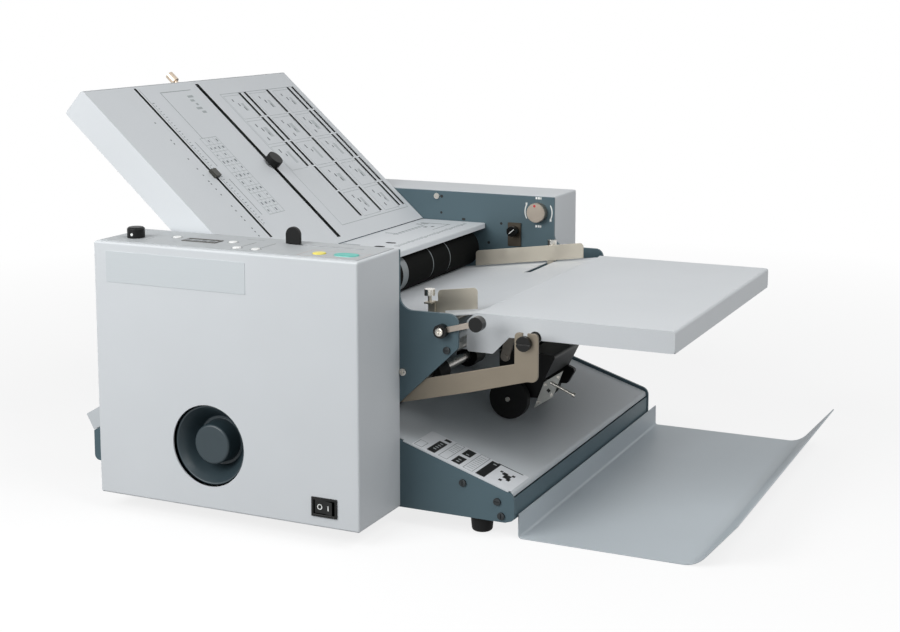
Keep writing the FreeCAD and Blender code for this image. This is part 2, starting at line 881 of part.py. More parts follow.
knob_low_z = panel_z + hair_gap
control_knob = rod_z(control_knob_x, control_knob_y, control_knob_radius, knob_low_z,
                     knob_low_z + control_knob_height)
control_knob = control_knob.makeChamfer(stop_knob_edge, [control_knob.Edges[0]])
control_stem = rod_z(control_knob_x, control_knob_y, control_stem_radius,
                     cover_height - cover_sheet - control_stem_length, knob_low_z)
save("control_knob", fused([control_knob, control_stem]))

# Slide lever with a round top, which lowers the lift plate
lever_low_z = panel_z + hair_gap
lever_round = lever_width / 2
lever_tab = fused([
    block(lever_start_x - lever_width / 2, lever_start_x + lever_width / 2,
          lever_y - lever_thickness / 2, lever_y + lever_thickness / 2,
          lever_low_z, lever_low_z + lever_height - lever_round),
    rod_y((lever_start_x, lever_low_z + lever_height - lever_round), lever_round,
          lever_y - lever_thickness / 2, lever_y + lever_thickness / 2),
    block(lever_start_x - lever_stem_width / 2, lever_start_x + lever_stem_width / 2,
          lever_y - lever_thickness / 2, lever_y + lever_thickness / 2,
          cover_height - cover_sheet - lever_stem_length, lever_low_z),
    block(lever_start_x - lever_foot_width / 2, lever_start_x + lever_foot_width / 2,
          lever_y - lever_thickness, lever_y + lever_thickness,
          cover_height - cover_sheet - hair_gap - lever_foot_height, cover_height - cover_sheet - hair_gap)])
save("feed_lever", lever_tab)

# Power switch: a frame in the cover and a rocker that turns about an upright pin
bezel = block(switch_x - switch_width / 2, switch_x + switch_width / 2, -switch_bezel, 0,
              switch_z - switch_height / 2, switch_z + switch_height / 2)
switch_body = block(switch_x - switch_body_width / 2, switch_x + switch_body_width / 2,
                    0, switch_body_depth, switch_z - switch_body_height / 2, switch_z + switch_body_height / 2)
rocker_room_box = block(switch_x - rocker_room / 2, switch_x + rocker_room / 2,
                        -switch_bezel - overrun, rocker_room_depth,
                        switch_z - rocker_height / 2 - hair_gap, switch_z + rocker_height / 2 + hair_gap)
save("switch_frame", fused([bezel, switch_body]).cut(rocker_room_box))

rocker_points = [(-rocker_width / 2, -rocker_face), (0, -rocker_valley), (rocker_width / 2, -rocker_face),
                 (rocker_width / 2, -rocker_waist), (0, rocker_keel), (-rocker_width / 2, -rocker_waist)]
rocker_wire = Part.makePolygon([V(x, y, 0) for x, y in rocker_points + rocker_points[:1]])
rocker = Part.Face(rocker_wire).extrude(V(0, 0, rocker_height))
rocker.rotate(V(0, 0, 0), V(0, 0, 1), -rocker_tilt)
rocker.translate(V(switch_x, rocker_pivot_y, switch_z - rocker_height / 2))
save("rocker_switch", rocker)


# Handwheel, its shaft, the motor and the belts
def wheel_profile(points):
    edges = Part.makePolygon([V(motor_x + r, y, motor_z) for r, y in points + points[:1]])
    return Part.Face(edges).revolve(V(motor_x, 0, motor_z), V(0, 1, 0), 360)


wheel_front_y = cover_sheet + wheel_front_gap
wheel_floor_y = wheel_front_y + wheel_dish_depth
hub_front_y = wheel_front_y + wheel_hub_set_back
wheel_points = [
    (0, hub_front_y),
    (wheel_hub_radius - wheel_hub_edge, hub_front_y),
    (wheel_hub_radius, hub_front_y + wheel_hub_edge),
    (wheel_hub_foot_radius, wheel_floor_y),
    (wheel_floor_radius, wheel_floor_y),
    (wheel_radius - wheel_wall / 2, wheel_front_y),
    (wheel_radius, wheel_front_y),
    (wheel_radius, wheel_front_y + wheel_wall),
    (wheel_floor_radius + wheel_wall, wheel_floor_y + wheel_wall),
    (wheel_boss_radius, wheel_floor_y + wheel_wall),
    (wheel_boss_radius, wheel_floor_y + wheel_wall + wheel_boss_length),
    (0, wheel_floor_y + wheel_wall + wheel_boss_length),
]
wheel_back_y = wheel_floor_y + wheel_wall + wheel_boss_length
shaft_front_y = wheel_back_y - wheel_seat_depth
handwheel = wheel_profile(wheel_points)
handwheel = handwheel.cut(rod_y(motor_place, shaft_radius, shaft_front_y, wheel_back_y + overrun))
save("handwheel", handwheel)

motor_shaft = rod_y(motor_place, shaft_radius, shaft_front_y, inner_front_y + motor_shaft_depth)
motor_pulley = rod_y(motor_place, motor_pulley_radius, main_belt_y, main_belt_y + pulley_width)
save("motor_shaft", fused([motor_shaft, motor_pulley]))

motor = fused([rod_y(motor_place, motor_radius, inner_front_y, inner_front_y + motor_length),
               rod_y(motor_place, motor_flange_radius, inner_front_y, inner_front_y + motor_flange)])
motor = motor.cut(rod_y(motor_place, shaft_radius + running_clearance, inner_front_y - overrun,
                        inner_front_y + motor_shaft_depth + overrun))
save("main_motor", motor)


def loop_outline(place_a, radius_a, place_b, radius_b):
    """Face inside a belt line round two circles."""
    ax, az = place_a
    bx, bz = place_b
    span = math.hypot(bx - ax, bz - az)
    heading = math.atan2(bz - az, bx - ax)
    lean = math.acos((radius_a - radius_b) / span)

    def on_circle(x, z, radius, angle):
        return V(x + radius * math.cos(angle), 0, z + radius * math.sin(angle))

    a_up = on_circle(ax, az, radius_a, heading + lean)
    a_down = on_circle(ax, az, radius_a, heading - lean)
    a_far = on_circle(ax, az, radius_a, heading + math.pi)
    b_up = on_circle(bx, bz, radius_b, heading + lean)
    b_down = on_circle(bx, bz, radius_b, heading - lean)
    b_far = on_circle(bx, bz, radius_b, heading)
    return Part.Face(Part.Wire([
        Part.Arc(a_up, a_far, a_down).toShape(), Part.LineSegment(a_down, b_down).toShape(),
        Part.Arc(b_down, b_far, b_up).toShape(), Part.LineSegment(b_up, a_up).toShape()]))


def belt(place_a, radius_a, place_b, radius_b, y0):
    y_belt = y0 + (pulley_width - belt_width) / 2
    inner = loop_outline(place_a, radius_a + belt_gap, place_b, radius_b + belt_gap)
    outer = loop_outline(place_a, radius_a + belt_gap + belt_thickness,
                         place_b, radius_b + belt_gap + belt_thickness)
    ring = outer.cut(inner)
    ring.translate(V(0, y_belt, 0))
    return ring.extrude(V(0, belt_width, 0))


save("drive_belts",
     belt(motor_place, motor_pulley_radius, roller_2, roller_pulley_radius, main_belt_y),
     belt(roller_1, feed_drive_pulley_radius, feed_place, feed_pulley_radius, feed_belt_y),
     belt(roller_2, exit_drive_pulley_radius, exit_place, exit_pulley_radius, exit_belt_y))

# Fold rollers with their pulleys, and the gears that turn them together
roller_radius = roller_pitch_radius - roller_skin_gap
plain_front_y = front_plate_y - bush_flange - shaft_stub
plain_back_y = rear_plate_back_y + bush_flange + shaft_stub


def roller(place, radius, front_y, rear_y):
    return fused([rod_y(place, shaft_radius, front_y, rear_y),
                  rod_y(place, radius, inner_front_y + roller_end_gap, inner_rear_y - roller_end_gap)])


def gear(place, phase):
    step = 360.0 / gear_teeth
    points = []
    for tooth in range(gear_teeth):
        middle = phase + tooth * step
        for radius, share in [(roller_pitch_radius - gear_dedendum, -tooth_root_share),
                              (roller_pitch_radius, -tooth_pitch_share),
                              (roller_pitch_radius + gear_addendum, -tooth_tip_share),
                              (roller_pitch_radius + gear_addendum, tooth_tip_share),
                              (roller_pitch_radius, tooth_pitch_share),
                              (roller_pitch_radius - gear_dedendum, tooth_root_share)]:
            x, z = around(place, middle + share * step, radius)
            points.append(V(x, gear_front_y, z))
    blank = Part.Face(Part.makePolygon(points + points[:1])).extrude(V(0, gear_width, 0))
    return blank.cut(rod_y(place, shaft_radius, gear_front_y - overrun, gear_back_y + overrun))


def mesh_phase(angle):
    return 2 * angle + 180.0 + 180.0 / gear_teeth


fold_roller_1 = fused([
    roller(roller_1, roller_radius, feed_belt_y, gear_back_y),
    rod_y(roller_1, feed_drive_pulley_radius, feed_belt_y, feed_belt_y + pulley_width)])
save("fold_roller_1", fold_roller_1, gear(roller_1, mesh_phase(roller_1_angle)))
fold_roller_2 = fused([
    roller(roller_2, roller_radius, main_belt_y, exit_belt_y + pulley_width),
    rod_y(roller_2, roller_pulley_radius, main_belt_y, main_belt_y + pulley_width),
    rod_y(roller_2, exit_drive_pulley_radius, exit_belt_y, exit_belt_y + pulley_width)])
save("fold_roller_2", fold_roller_2, gear(roller_2, 0))
save("fold_roller_3", roller(roller_3, roller_radius, plain_front_y, gear_back_y),
     gear(roller_3, mesh_phase(roller_3_angle)))
save("fold_roller_4", roller(roller_4, roller_radius, plain_front_y, gear_back_y),
     gear(roller_4, mesh_phase(roller_4_angle)))

# Feed roller: a shaft with rubber sleeves, a grey collar and two thin bands between them
feed_shaft = fused([rod_y(feed_place, shaft_radius, feed_belt_y, plain_back_y),
                    rod_y(feed_place, feed_pulley_radius, feed_belt_y, feed_belt_y + pulley_width)])
sleeves = []
collars = []
y_here = inner_front_y + feed_sleeve_start
for sleeve, band in [(feed_sleeve_1, feed_collar_width), (feed_sleeve_2, feed_band_width),
                     (feed_sleeve_3, feed_band_width)]:
    sleeves.append(ring_y(feed_place, feed_roller_radius, shaft_radius, y_here, y_here + sleeve))
    y_here = y_here + sleeve
    collars.append(ring_y(feed_place, feed_roller_radius - feed_band_rise, shaft_radius, y_here, y_here + band))
    y_here = y_here + band
last_end_y = inner_rear_y - feed_sleeve_start
sleeves.append(ring_y(feed_place, feed_roller_radius, shaft_radius, y_here, last_end_y))
save("feed_sleeves", *sleeves)
save("feed_shaft", feed_shaft, *collars)


# Upper fold table. Local places run down the slope from its top edge, along y, and out of its face.
def on_table_1(shape):
    copy = shape.copy()
    copy.Placement = FreeCAD.Placement(V(table_1_top_x, 0, table_1_top_z),
                                       FreeCAD.Rotation(V(0, 1, 0), table_1_angle))
    return copy


def on_table_2(shape):
    copy = shape.copy()
    copy.Placement = FreeCAD.Placement(V(table_2_end_x, 0, table_2_end_z),
                                       FreeCAD.Rotation(V(0, 1, 0), -table_2_angle))
    return copy


case_front_y = inner_front_y + case_side_gap
case_rear_y = inner_rear_y - case_side_gap
table_1_tail = table_1_length - table_1_cut_back


def slot_box(s0, s1, y, width, n0, n1):
    return block(s0, s1, y - width / 2, y + width / 2, n0, n1)


stop_slots = [(stop_slot_start, stop_slot_end, centre_y, stop_slot_width),
              (pointer_slot_start, pointer_slot_end, centre_y - pointer_slot_offset, pointer_slot_width)]
air_slots = []
for offset, rows in [(air_slot_offset_1, short_air_slot_rows), (air_slot_offset_2, air_slot_rows),
                     (air_slot_offset_3, air_slot_rows), (air_slot_offset_4, air_slot_rows),
                     (air_slot_offset_5, air_slot_rows)]:
    row_pitch = (air_slot_end - air_slot_start) / air_slot_rows
    for row in range(rows):
        start = air_slot_start + row * row_pitch
        air_slots.append((start, start + row_pitch - air_slot_bridge, centre_y + offset, air_slot_width))

case = slab([(0, 0, case_corner_radius), (table_1_length, 0), (table_1_tail, -table_1_thickness),
             (0, -table_1_thickness, case_corner_radius)], case_front_y, case_rear_y)
case_room = slab([(case_sheet, -case_sheet), (table_1_length + overrun, -case_sheet),
                  (table_1_length + overrun, -table_1_thickness - overrun),
                  (case_sheet, -table_1_thickness - overrun)],
                 case_front_y + case_sheet, case_rear_y - case_sheet)
case = case.cut(case_room)
for s0, s1, y, width in stop_slots + air_slots:
    case = case.cut(slot_box(s0, s1, y, width, -case_sheet - overrun, overrun))
fine_screw_y = centre_y - fine_screw_side_step
stem_room = Part.makeCylinder(fine_screw_stem_radius + running_clearance, case_sheet + 2 * overrun,
                              V(-overrun, fine_screw_y, fine_screw_n), V(1, 0, 0))
case = case.cut(stem_room)
peg_1_low = -table_1_thickness / 2
peg_1 = rod_y((table_1_peg_place, peg_1_low), table_peg_radius, inner_front_y, case_front_y + case_sheet)
case = cut_all(case, [peg_1, mirrored(peg_1)])
floor_1 = block(case_sheet, table_1_tail - case_sheet, case_front_y + case_sheet, case_rear_y - case_sheet,
                -table_1_thickness, -table_1_thickness + case_sheet)
save("fold_table_1_case", on_table_1(case), on_table_1(floor_1))

chute_mid = -table_1_thickness / 2
chute_end = table_1_tail - chute_inset
chute_front_y = case_front_y + case_sheet + chute_side_gap
chute_rear_y = case_rear_y - case_sheet - chute_side_gap
finger_steps = [(i - (stop_finger_count - 1) / 2) * stop_finger_spacing for i in range(stop_finger_count)]
chute_plates = []
for side in (-1, 1):
    near = chute_mid + side * chute_gap / 2
    far = near + side * chute_sheet
    plate = block(case_sheet, chute_end, chute_front_y, chute_rear_y, min(near, far), max(near, far))
    for step in finger_steps:
        plate = plate.cut(slot_box(stop_slot_start, stop_slot_end, centre_y + step,
                                   stop_finger_width + 2 * hair_gap, min(near, far) - overrun,
                                   max(near, far) + overrun))
    chute_plates.append(plate)
save("fold_table_1_chute", *[on_table_1(plate) for plate in chute_plates])


def stop_parts(place, chute_middle, bar_lift, skin_n, with_pointer):
    """Stop bar with its fingers and spindle, the clamp knob, and a pointer, in a table's local places."""
    bar_low = chute_middle + chute_gap / 2 + chute_sheet + bar_lift
    bar = block(place - stop_bar_width / 2, place + stop_bar_width / 2,
                centre_y - stop_bar_length / 2, centre_y + stop_bar_length / 2,
                bar_low, bar_low + stop_bar_height)
    finger_low = chute_middle - chute_gap / 2 - chute_sheet - stop_finger_reach
    fingers = [block(place - stop_finger_thickness / 2, place + stop_finger_thickness / 2,
                     centre_y + step - stop_finger_width / 2, centre_y + step + stop_finger_width / 2,
                     finger_low, bar_low) for step in finger_steps]
    knob_low = skin_n + stop_knob_lift
    spindle = Part.makeCylinder(stop_spindle_radius, knob_low - bar_low, V(place, centre_y, bar_low))
    pieces = [bar] + fingers + [spindle]
    if with_pointer:
        pointer_y = centre_y - pointer_slot_offset
        pieces.append(block(place - pointer_stem_thickness, place + pointer_stem_thickness,
                            pointer_y - pointer_stem_thickness / 2, pointer_y + pointer_stem_thickness / 2,
                            bar_low, skin_n + hair_gap))
        pieces.append(block(place - pointer_length / 2, place + pointer_length / 2,
                            pointer_y - pointer_width / 2, pointer_y + pointer_width / 2,
                            skin_n + hair_gap, skin_n + hair_gap + pointer_height))
    knob = fused([Part.makeCylinder(stop_pedestal_radius, stop_knob_lift - hair_gap,
                                    V(place, centre_y, skin_n + hair_gap)),
                  Part.makeCylinder(stop_knob_radius, stop_knob_height, V(place, centre_y, knob_low))])
    knob = knob.cut(Part.makeCylinder(stop_spindle_radius + running_clearance,
                                      stop_knob_lift + overrun, V(place, centre_y, skin_n - overrun)))
    return fused(pieces), knob


stop_1, stop_knob_1 = stop_parts(stop_1_place, chute_mid, stop_bar_lift, 0, True)
save("fold_stop_1", on_table_1(stop_1))
save("stop_knob_1", on_table_1(stop_knob_1))

fine_screw = fused([
    Part.makeCylinder(fine_screw_radius, fine_screw_length,
                      V(-fine_screw_stem_length, fine_screw_y, fine_screw_n), V(-1, 0, 0)),
    Part.makeCylinder(fine_screw_stem_radius, fine_screw_stem_length + case_sheet + overrun,
                      V(case_sheet + overrun, fine_screw_y, fine_screw_n), V(-1, 0, 0))])
save("fine_adjust_screw", on_table_1(fine_screw))

# Lower fold table: local places run up the slope from its outer end
half_2 = table_2_thickness / 2
case_2 = block(0, table_2_length, case_front_y, case_rear_y, -half_2, half_2)
case_2 = case_2.cut(block(case_sheet, table_2_length + overrun, case_front_y + case_sheet,
                          case_rear_y - case_sheet, -half_2 - overrun, half_2 - case_sheet))
slot_2_end = table_2_length - table_2_slot_end_gap
case_2 = case_2.cut(slot_box(table_2_slot_end_gap, slot_2_end, centre_y, stop_slot_width,
                             half_2 - case_sheet - overrun, half_2 + overrun))
peg_2 = rod_y((table_2_peg_place, 0), table_peg_radius, inner_front_y, case_front_y + case_sheet)
case_2 = cut_all(case_2, [peg_2, mirrored(peg_2)])
floor_2 = block(case_sheet, table_2_length, case_front_y + case_sheet, case_rear_y - case_sheet,
                -half_2, -half_2 + case_sheet)
save("fold_table_2_case", on_table_2(case_2), on_table_2(floor_2))
save("table_pegs", on_table_1(peg_1), on_table_1(mirrored(peg_1)),
     on_table_2(peg_2), on_table_2(mirrored(peg_2)))
chute_2_mid = -half_2 + case_sheet + stop_bar_lift + chute_sheet + chute_gap / 2
chute_2_plates = []
for side in (-1, 1):
    near = chute_2_mid + side * chute_gap / 2
    far = near + side * chute_sheet
    plate = block(case_sheet, table_2_length - chute_inset, chute_front_y, chute_rear_y,
                  min(near, far), max(near, far))
    for step in finger_steps:
        plate = plate.cut(slot_box(table_2_slot_end_gap, slot_2_end, centre_y + step,
                                   stop_finger_width + 2 * hair_gap, min(near, far) - overrun,
                                   max(near, far) + overrun))
    chute_2_plates.append(plate)
save("fold_table_2_chute", *[on_table_2(plate) for plate in chute_2_plates])
stop_2, stop_knob_2 = stop_parts(stop_2_place, chute_2_mid, hair_gap, half_2, False)
save("fold_stop_2", on_table_2(stop_2))
save("stop_knob_2", on_table_2(stop_knob_2))

# Feed table: a flanged deck with deep wings that hook over the table bar
deck = slab(bent_sheet([(deck_left_x, deck_top_z - deck_lip), (deck_left_x, deck_top_z, deck_corner_radius),
                        (deck_right_x, deck_top_z, deck_corner_radius),
                        (deck_right_x, deck_top_z - deck_flange)], deck_sheet),
            deck_front_y + deck_sheet, deck_rear_y - deck_sheet)
wing = slab([
    (deck_left_x, deck_top_z, deck_corner_radius),
    (deck_right_x, deck_top_z, deck_corner_radius),
    (deck_right_x, deck_top_z - deck_flange, wing_radius),
    (wing_rise_x, deck_top_z - deck_flange),
    (wing_low_right_x, wing_low_z, wing_radius),
    (wing_left_x, wing_low_z, wing_radius),
    (wing_left_x, deck_top_z - deck_lip, wing_radius),
], deck_front_y, deck_front_y + deck_sheet)
press_shaft_place = (press_shaft_x, press_shaft_z)
wing = cut_all(wing, [
    rod_y(press_shaft_place, shaft_notch_radius, deck_front_y - overrun, deck_front_y + deck_sheet + overrun),
    block(press_shaft_x - shaft_notch_radius, press_shaft_x + shaft_notch_radius, deck_front_y - overrun,
          deck_front_y + deck_sheet + overrun, deck_top_z - deck_flange - overrun, press_shaft_z)])
hook_low_z = table_bar_z - bar_radius - hook_wall
hook = slab([
    (table_bar_x - bar_radius - hook_wall, table_bar_z + bar_radius),
    (deck_left_x + deck_sheet, deck_top_z - deck_lip - hook_shoulder),
    (deck_left_x + deck_sheet, deck_top_z - deck_sheet),
    (hook_right_x, deck_top_z - deck_sheet),
    (hook_right_x, deck_top_z - deck_flange),
    (table_bar_x + bar_radius + hook_wall, hook_low_z, wing_radius),
    (table_bar_x - bar_radius - hook_wall, hook_low_z, wing_radius),
], deck_front_y + hook_inset, deck_front_y + hook_inset + hook_thickness)
hook = hook.cut(rod_y((table_bar_x, table_bar_z), bar_radius, deck_front_y, deck_rear_y))
feed_table = fused([deck, wing, mirrored(wing), hook, mirrored(hook)])
save("feed_table", feed_table)

# Lift plate under the pile, hinged at the deck and slotted for the side guides
lift_front_y = deck_front_y + lift_inset
lift_rear_y = deck_rear_y - lift_inset
lift = slab([(lift_left_x, lift_z(lift_left_x)), (lift_hinge_x, lift_z(lift_hinge_x)),
             (lift_hinge_x, lift_z(lift_hinge_x) - lift_sheet),
             (lift_left_x, lift_z(lift_left_x) - lift_sheet)], lift_front_y, lift_rear_y)
lift_hinge_z = lift_z(lift_hinge_x) - lift_barrel_radius
lift = fused([lift, rod_y((lift_hinge_x, lift_hinge_z), lift_barrel_radius, lift_front_y, lift_rear_y)])
guide_slot = block(guide_bar_x - guide_slot_width / 2, guide_bar_x + guide_slot_width / 2,
                   lift_front_y - overrun, lift_front_y + guide_slot_length,
                   guide_bar_z, deck_top_z)
save("lift_plate", cut_all(lift, [guide_slot, mirrored(guide_slot)]))


def side_guide(left_x, right_x, height):
    """Stainless guide for the pile's front edge, on a leg whose hub slides on the guide bar."""
    face_y = inner_front_y + guide_inset
    low_left = lift_z(left_x) + guide_lift
    low_right = lift_z(right_x) + guide_lift
    blade = slab([(left_x, low_left), (left_x, low_left + height, guide_corner_radius),
                  (right_x, low_right + height, guide_corner_radius), (right_x, low_right)],
                 face_y - guide_sheet, face_y)
    hub_end_y = face_y - guide_sheet
    hub = rod_y((guide_bar_x, guide_bar_z), guide_hub_radius, hub_end_y - guide_hub_length, hub_end_y)
    leg = block(guide_bar_x - guide_leg_width / 2, guide_bar_x + guide_leg_width / 2,
                hub_end_y - guide_sheet, hub_end_y, guide_bar_z, guide_bar_z + guide_leg_height)
    ear_right = max(left_x + guide_leg_width, guide_bar_x + guide_leg_width)
    ear = block(guide_bar_x - guide_leg_width / 2, ear_right, face_y - guide_sheet, face_y,
                lift_z(guide_bar_x) + guide_lift, guide_bar_z + guide_leg_height)
    stem_y = hub_end_y - guide_hub_length / 2
    shelf = block(guide_bar_x - guide_leg_width / 2, guide_bar_x + guide_leg_width / 2,
                  hub_end_y - guide_hub_length, hub_end_y,
                  guide_bar_z + guide_leg_height - guide_sheet, guide_bar_z + guide_leg_height)
    thumb_z = guide_bar_z + guide_leg_height + thumb_stem_height
    stem = rod_z(guide_bar_x, stem_y, thumb_stem_radius, guide_bar_z + guide_leg_height, thumb_z)
    thumb = rod_z(guide_bar_x, stem_y, thumb_radius, thumb_z, thumb_z + thumb_height)
    whole = fused([blade, hub, leg, ear, shelf, stem, thumb])
    bore = rod_y((guide_bar_x, guide_bar_z), guide_bar_radius + running_clearance,
                 hub_end_y - guide_hub_length - overrun, face_y + overrun)
    return whole.cut(bore)


save("front_side_guide", side_guide(front_guide_left_x, front_guide_right_x, front_guide_height))
save("rear_side_guide", mirrored(side_guide(rear_guide_left_x, rear_guide_right_x, rear_guide_height)))

# Hinged cover over the rollers
cover_front_y = inner_front_y + top_cover_side_gap
cover_rear_y = inner_rear_y - top_cover_side_gap
lid_left_x = table_1_foot_x - top_cover_lap
top_cover = slab(bent_sheet([(lid_left_x, top_cover_z), (top_cover_right_x, top_cover_z, top_cover_bend_radius),
                             (top_cover_right_x, top_cover_z - top_cover_lip)], top_cover_sheet),
                 cover_front_y, cover_rear_y)
for side in (-1, 1):
    slot_y = centre_y + top_cover_slot_shift + side * top_cover_slot_spacing / 2
    top_cover = top_cover.cut(oval_z(top_cover_slot_x, slot_y, top_cover_slot_length, top_cover_slot_width,
                                     top_cover_z - top_cover_sheet - overrun, top_cover_z + overrun))
hinge_x = top_cover_left_x + top_cover_hinge_radius
hinge_place = (hinge_x, top_cover_z - top_cover_hinge_drop)
barrel = rod_y(hinge_place, top_cover_hinge_radius, cover_front_y, cover_rear_y)
web = block(top_cover_left_x, hinge_x + top_cover_hinge_radius, cover_front_y, cover_rear_y,
            top_cover_z - top_cover_hinge_drop, top_cover_z - top_cover_sheet)
pin_room = rod_y(hinge_place, hinge_pin_radius + running_clearance, cover_front_y - overrun,
                 cover_front_y + hinge_pin_length)
top_cover = cut_all(fused([top_cover, barrel, web]), [pin_room, mirrored(pin_room)])
save("top_cover", top_cover)
pin = rod_y(hinge_place, hinge_pin_radius, inner_front_y, cover_front_y + hinge_pin_length - hinge_pin_reach)
hinge_pins = [pin, mirrored(pin)]

# Delivery: ramp between the noses, exit rollers, press wheels and the tray
ramp_right_x = end_plate_x
ramp = slab(bent_sheet([(ramp_top_x, ramp_top_z), (ramp_left_x, ramp_z(ramp_left_x), ramp_bend_radius),
                        (ramp_right_x, ramp_z(ramp_right_x), ramp_end_radius),
                        (ramp_right_x, ramp_z(ramp_right_x) - ramp_end_lip)], ramp_sheet),
            inner_front_y, inner_rear_y)
strip_right_x = ramp_right_x - ramp_end_radius
ramp_strip = slab([(ramp_strip_gap, ramp_z(ramp_strip_gap)), (strip_right_x, ramp_z(strip_right_x)),
                   (strip_right_x, ramp_z(strip_right_x) - ramp_upright),
                   (ramp_strip_gap, ramp_z(ramp_strip_gap) - ramp_upright)], front_plate_y, inner_front_y)
save("delivery_ramp", fused([ramp, ramp_strip]))

exit_shaft = fused([
    rod_y(exit_place, shaft_radius, plain_front_y, exit_belt_y + pulley_width),
    rod_y(exit_place, exit_pulley_radius, exit_belt_y, exit_belt_y + pulley_width)])
save("exit_shaft", exit_shaft)
exit_rollers = []
for i in range(exit_roller_count):
    middle = centre_y + (i - (exit_roller_count - 1) / 2) * exit_roller_spacing
    exit_rollers.append(ring_y(exit_place, exit_roller_radius, shaft_radius,
                               middle - exit_roller_width / 2, middle + exit_roller_width / 2))
save("exit_rollers", *exit_rollers)

arm = slab([
    (arm_tip_x, arm_tip_z),
    (arm_root_x, arm_root_z),
    (arm_leg_left_x, arm_bend_z),
    (arm_leg_left_x, arm_top_z, arm_corner_radius),
    (arm_leg_right_x, arm_top_z, arm_corner_radius),
    (arm_leg_right_x, arm_low_z, arm_elbow_radius),
    (arm_low_x, arm_low_z, arm_corner_radius),
    (arm_mid_x, arm_mid_z),
], inner_front_y, inner_front_y + arm_sheet)
arm = arm.cut(rod_y((press_shaft_x, press_shaft_z), press_shaft_radius, inner_front_y - overrun,
                    inner_front_y + arm_sheet + overrun))
arm = arm.cut(block(press_shaft_x - arm_slot_half, press_shaft_x + arm_slot_half, inner_front_y - overrun,
                    inner_front_y + arm_sheet + overrun, press_shaft_z, arm_top_z + overrun))
save("wheel_arms", arm, mirrored(arm))

save("press_shaft", rod_y(press_shaft_place, press_shaft_radius, inner_front_y, inner_rear_y))
cap = rod_y(press_shaft_place, press_knob_radius, inner_front_y - press_knob_height, inner_front_y)
cap = cap.cut(block(press_shaft_x - press_knob_radius, press_shaft_x + press_knob_radius,
                    inner_front_y - press_knob_height - overrun,
                    inner_front_y - press_knob_height + press_knob_slot_depth,
                    press_shaft_z - press_knob_slot / 2, press_shaft_z + press_knob_slot / 2))
notch_bush = ring_y(press_shaft_place, shaft_notch_radius, press_shaft_radius,
                    deck_front_y - shaft_bush_proud, deck_front_y + deck_sheet + shaft_bush_proud)
save("shaft_caps", cap, mirrored(cap), notch_bush, mirrored(notch_bush))

wheel_place = (press_wheel_x, press_wheel_z)
pivot_place = (carrier_pivot_x, carrier_pivot_z)


def carrier_arm(y0):
    side = slab([(carrier_left_x, carrier_top_z, carrier_corner_radius),
                 (carrier_right_x, carrier_top_z, carrier_corner_radius),
                 (carrier_tail_x, carrier_tail_z),
                 (carrier_tab_x, carrier_tab_z, carrier_corner_radius),
                 (carrier_toe_x, carrier_toe_z, carrier_corner_radius),
                 (press_wheel_x + carrier_axle_boss_radius, press_wheel_z),
                 (press_wheel_x - carrier_axle_boss_radius, press_wheel_z),
                 (carrier_left_x, carrier_heel_z, carrier_corner_radius)], y0, y0 + carrier_arm_thickness)
    return fused([side, rod_y(wheel_place, carrier_axle_boss_radius, y0, y0 + carrier_arm_thickness)])


carrier_front_y = centre_y - carrier_arm_offset - carrier_arm_thickness / 2
carrier_rear_y = centre_y + carrier_arm_offset - carrier_arm_thickness / 2
carrier_back_y = carrier_rear_y + carrier_arm_thickness
carrier = fused([
    carrier_arm(carrier_front_y), carrier_arm(carrier_rear_y),
    rod_y(pivot_place, carrier_hub_radius, carrier_front_y, carrier_back_y),
    slab([(carrier_block_left_x, carrier_top_z),
          (carrier_right_x, carrier_top_z, carrier_corner_radius),
          (carrier_tail_x, carrier_tail_z, carrier_corner_radius),
          (carrier_block_left_x, carrier_tail_z)], carrier_front_y, carrier_back_y)])
carrier = carrier.cut(rod_y(pivot_place, carrier_pin_radius + running_clearance, inner_front_y, inner_rear_y))
carrier = carrier.cut(rod_y(wheel_place, press_axle_radius + running_clearance, inner_front_y, inner_rear_y))
save("wheel_carrier", carrier)

# Two steel hangers on the table bar hold the pin that the carrier swings on
hanger_y = carrier_front_y - hair_gap - hanger_sheet
hanger = fused([
    slab([(table_bar_x - hanger_top_half, table_bar_z), (table_bar_x + hanger_top_half, table_bar_z),
          (carrier_pivot_x + hanger_low_half, carrier_pivot_z), (carrier_pivot_x - hanger_low_half, carrier_pivot_z)],
         hanger_y, hanger_y + hanger_sheet),
    rod_y((table_bar_x, table_bar_z), bar_radius + hanger_ring_wall, hanger_y, hanger_y + hanger_sheet),
    rod_y(pivot_place, hanger_low_half, hanger_y, hanger_y + hanger_sheet)])
hanger = cut_all(hanger, [rod_y((table_bar_x, table_bar_z), bar_radius, inner_front_y, inner_rear_y),
                          rod_y(pivot_place, carrier_pin_radius, inner_front_y, inner_rear_y)])
carrier_pin = rod_y(pivot_place, carrier_pin_radius, hanger_y - carrier_pin_proud,
                    2 * centre_y - hanger_y + carrier_pin_proud)


def on_bracket(across_share, down_share):
    return (bracket_top_x + bracket_run_x * across_share + bracket_fall_x * down_share,
            bracket_top_z + bracket_run_z * across_share + bracket_fall_z * down_share)


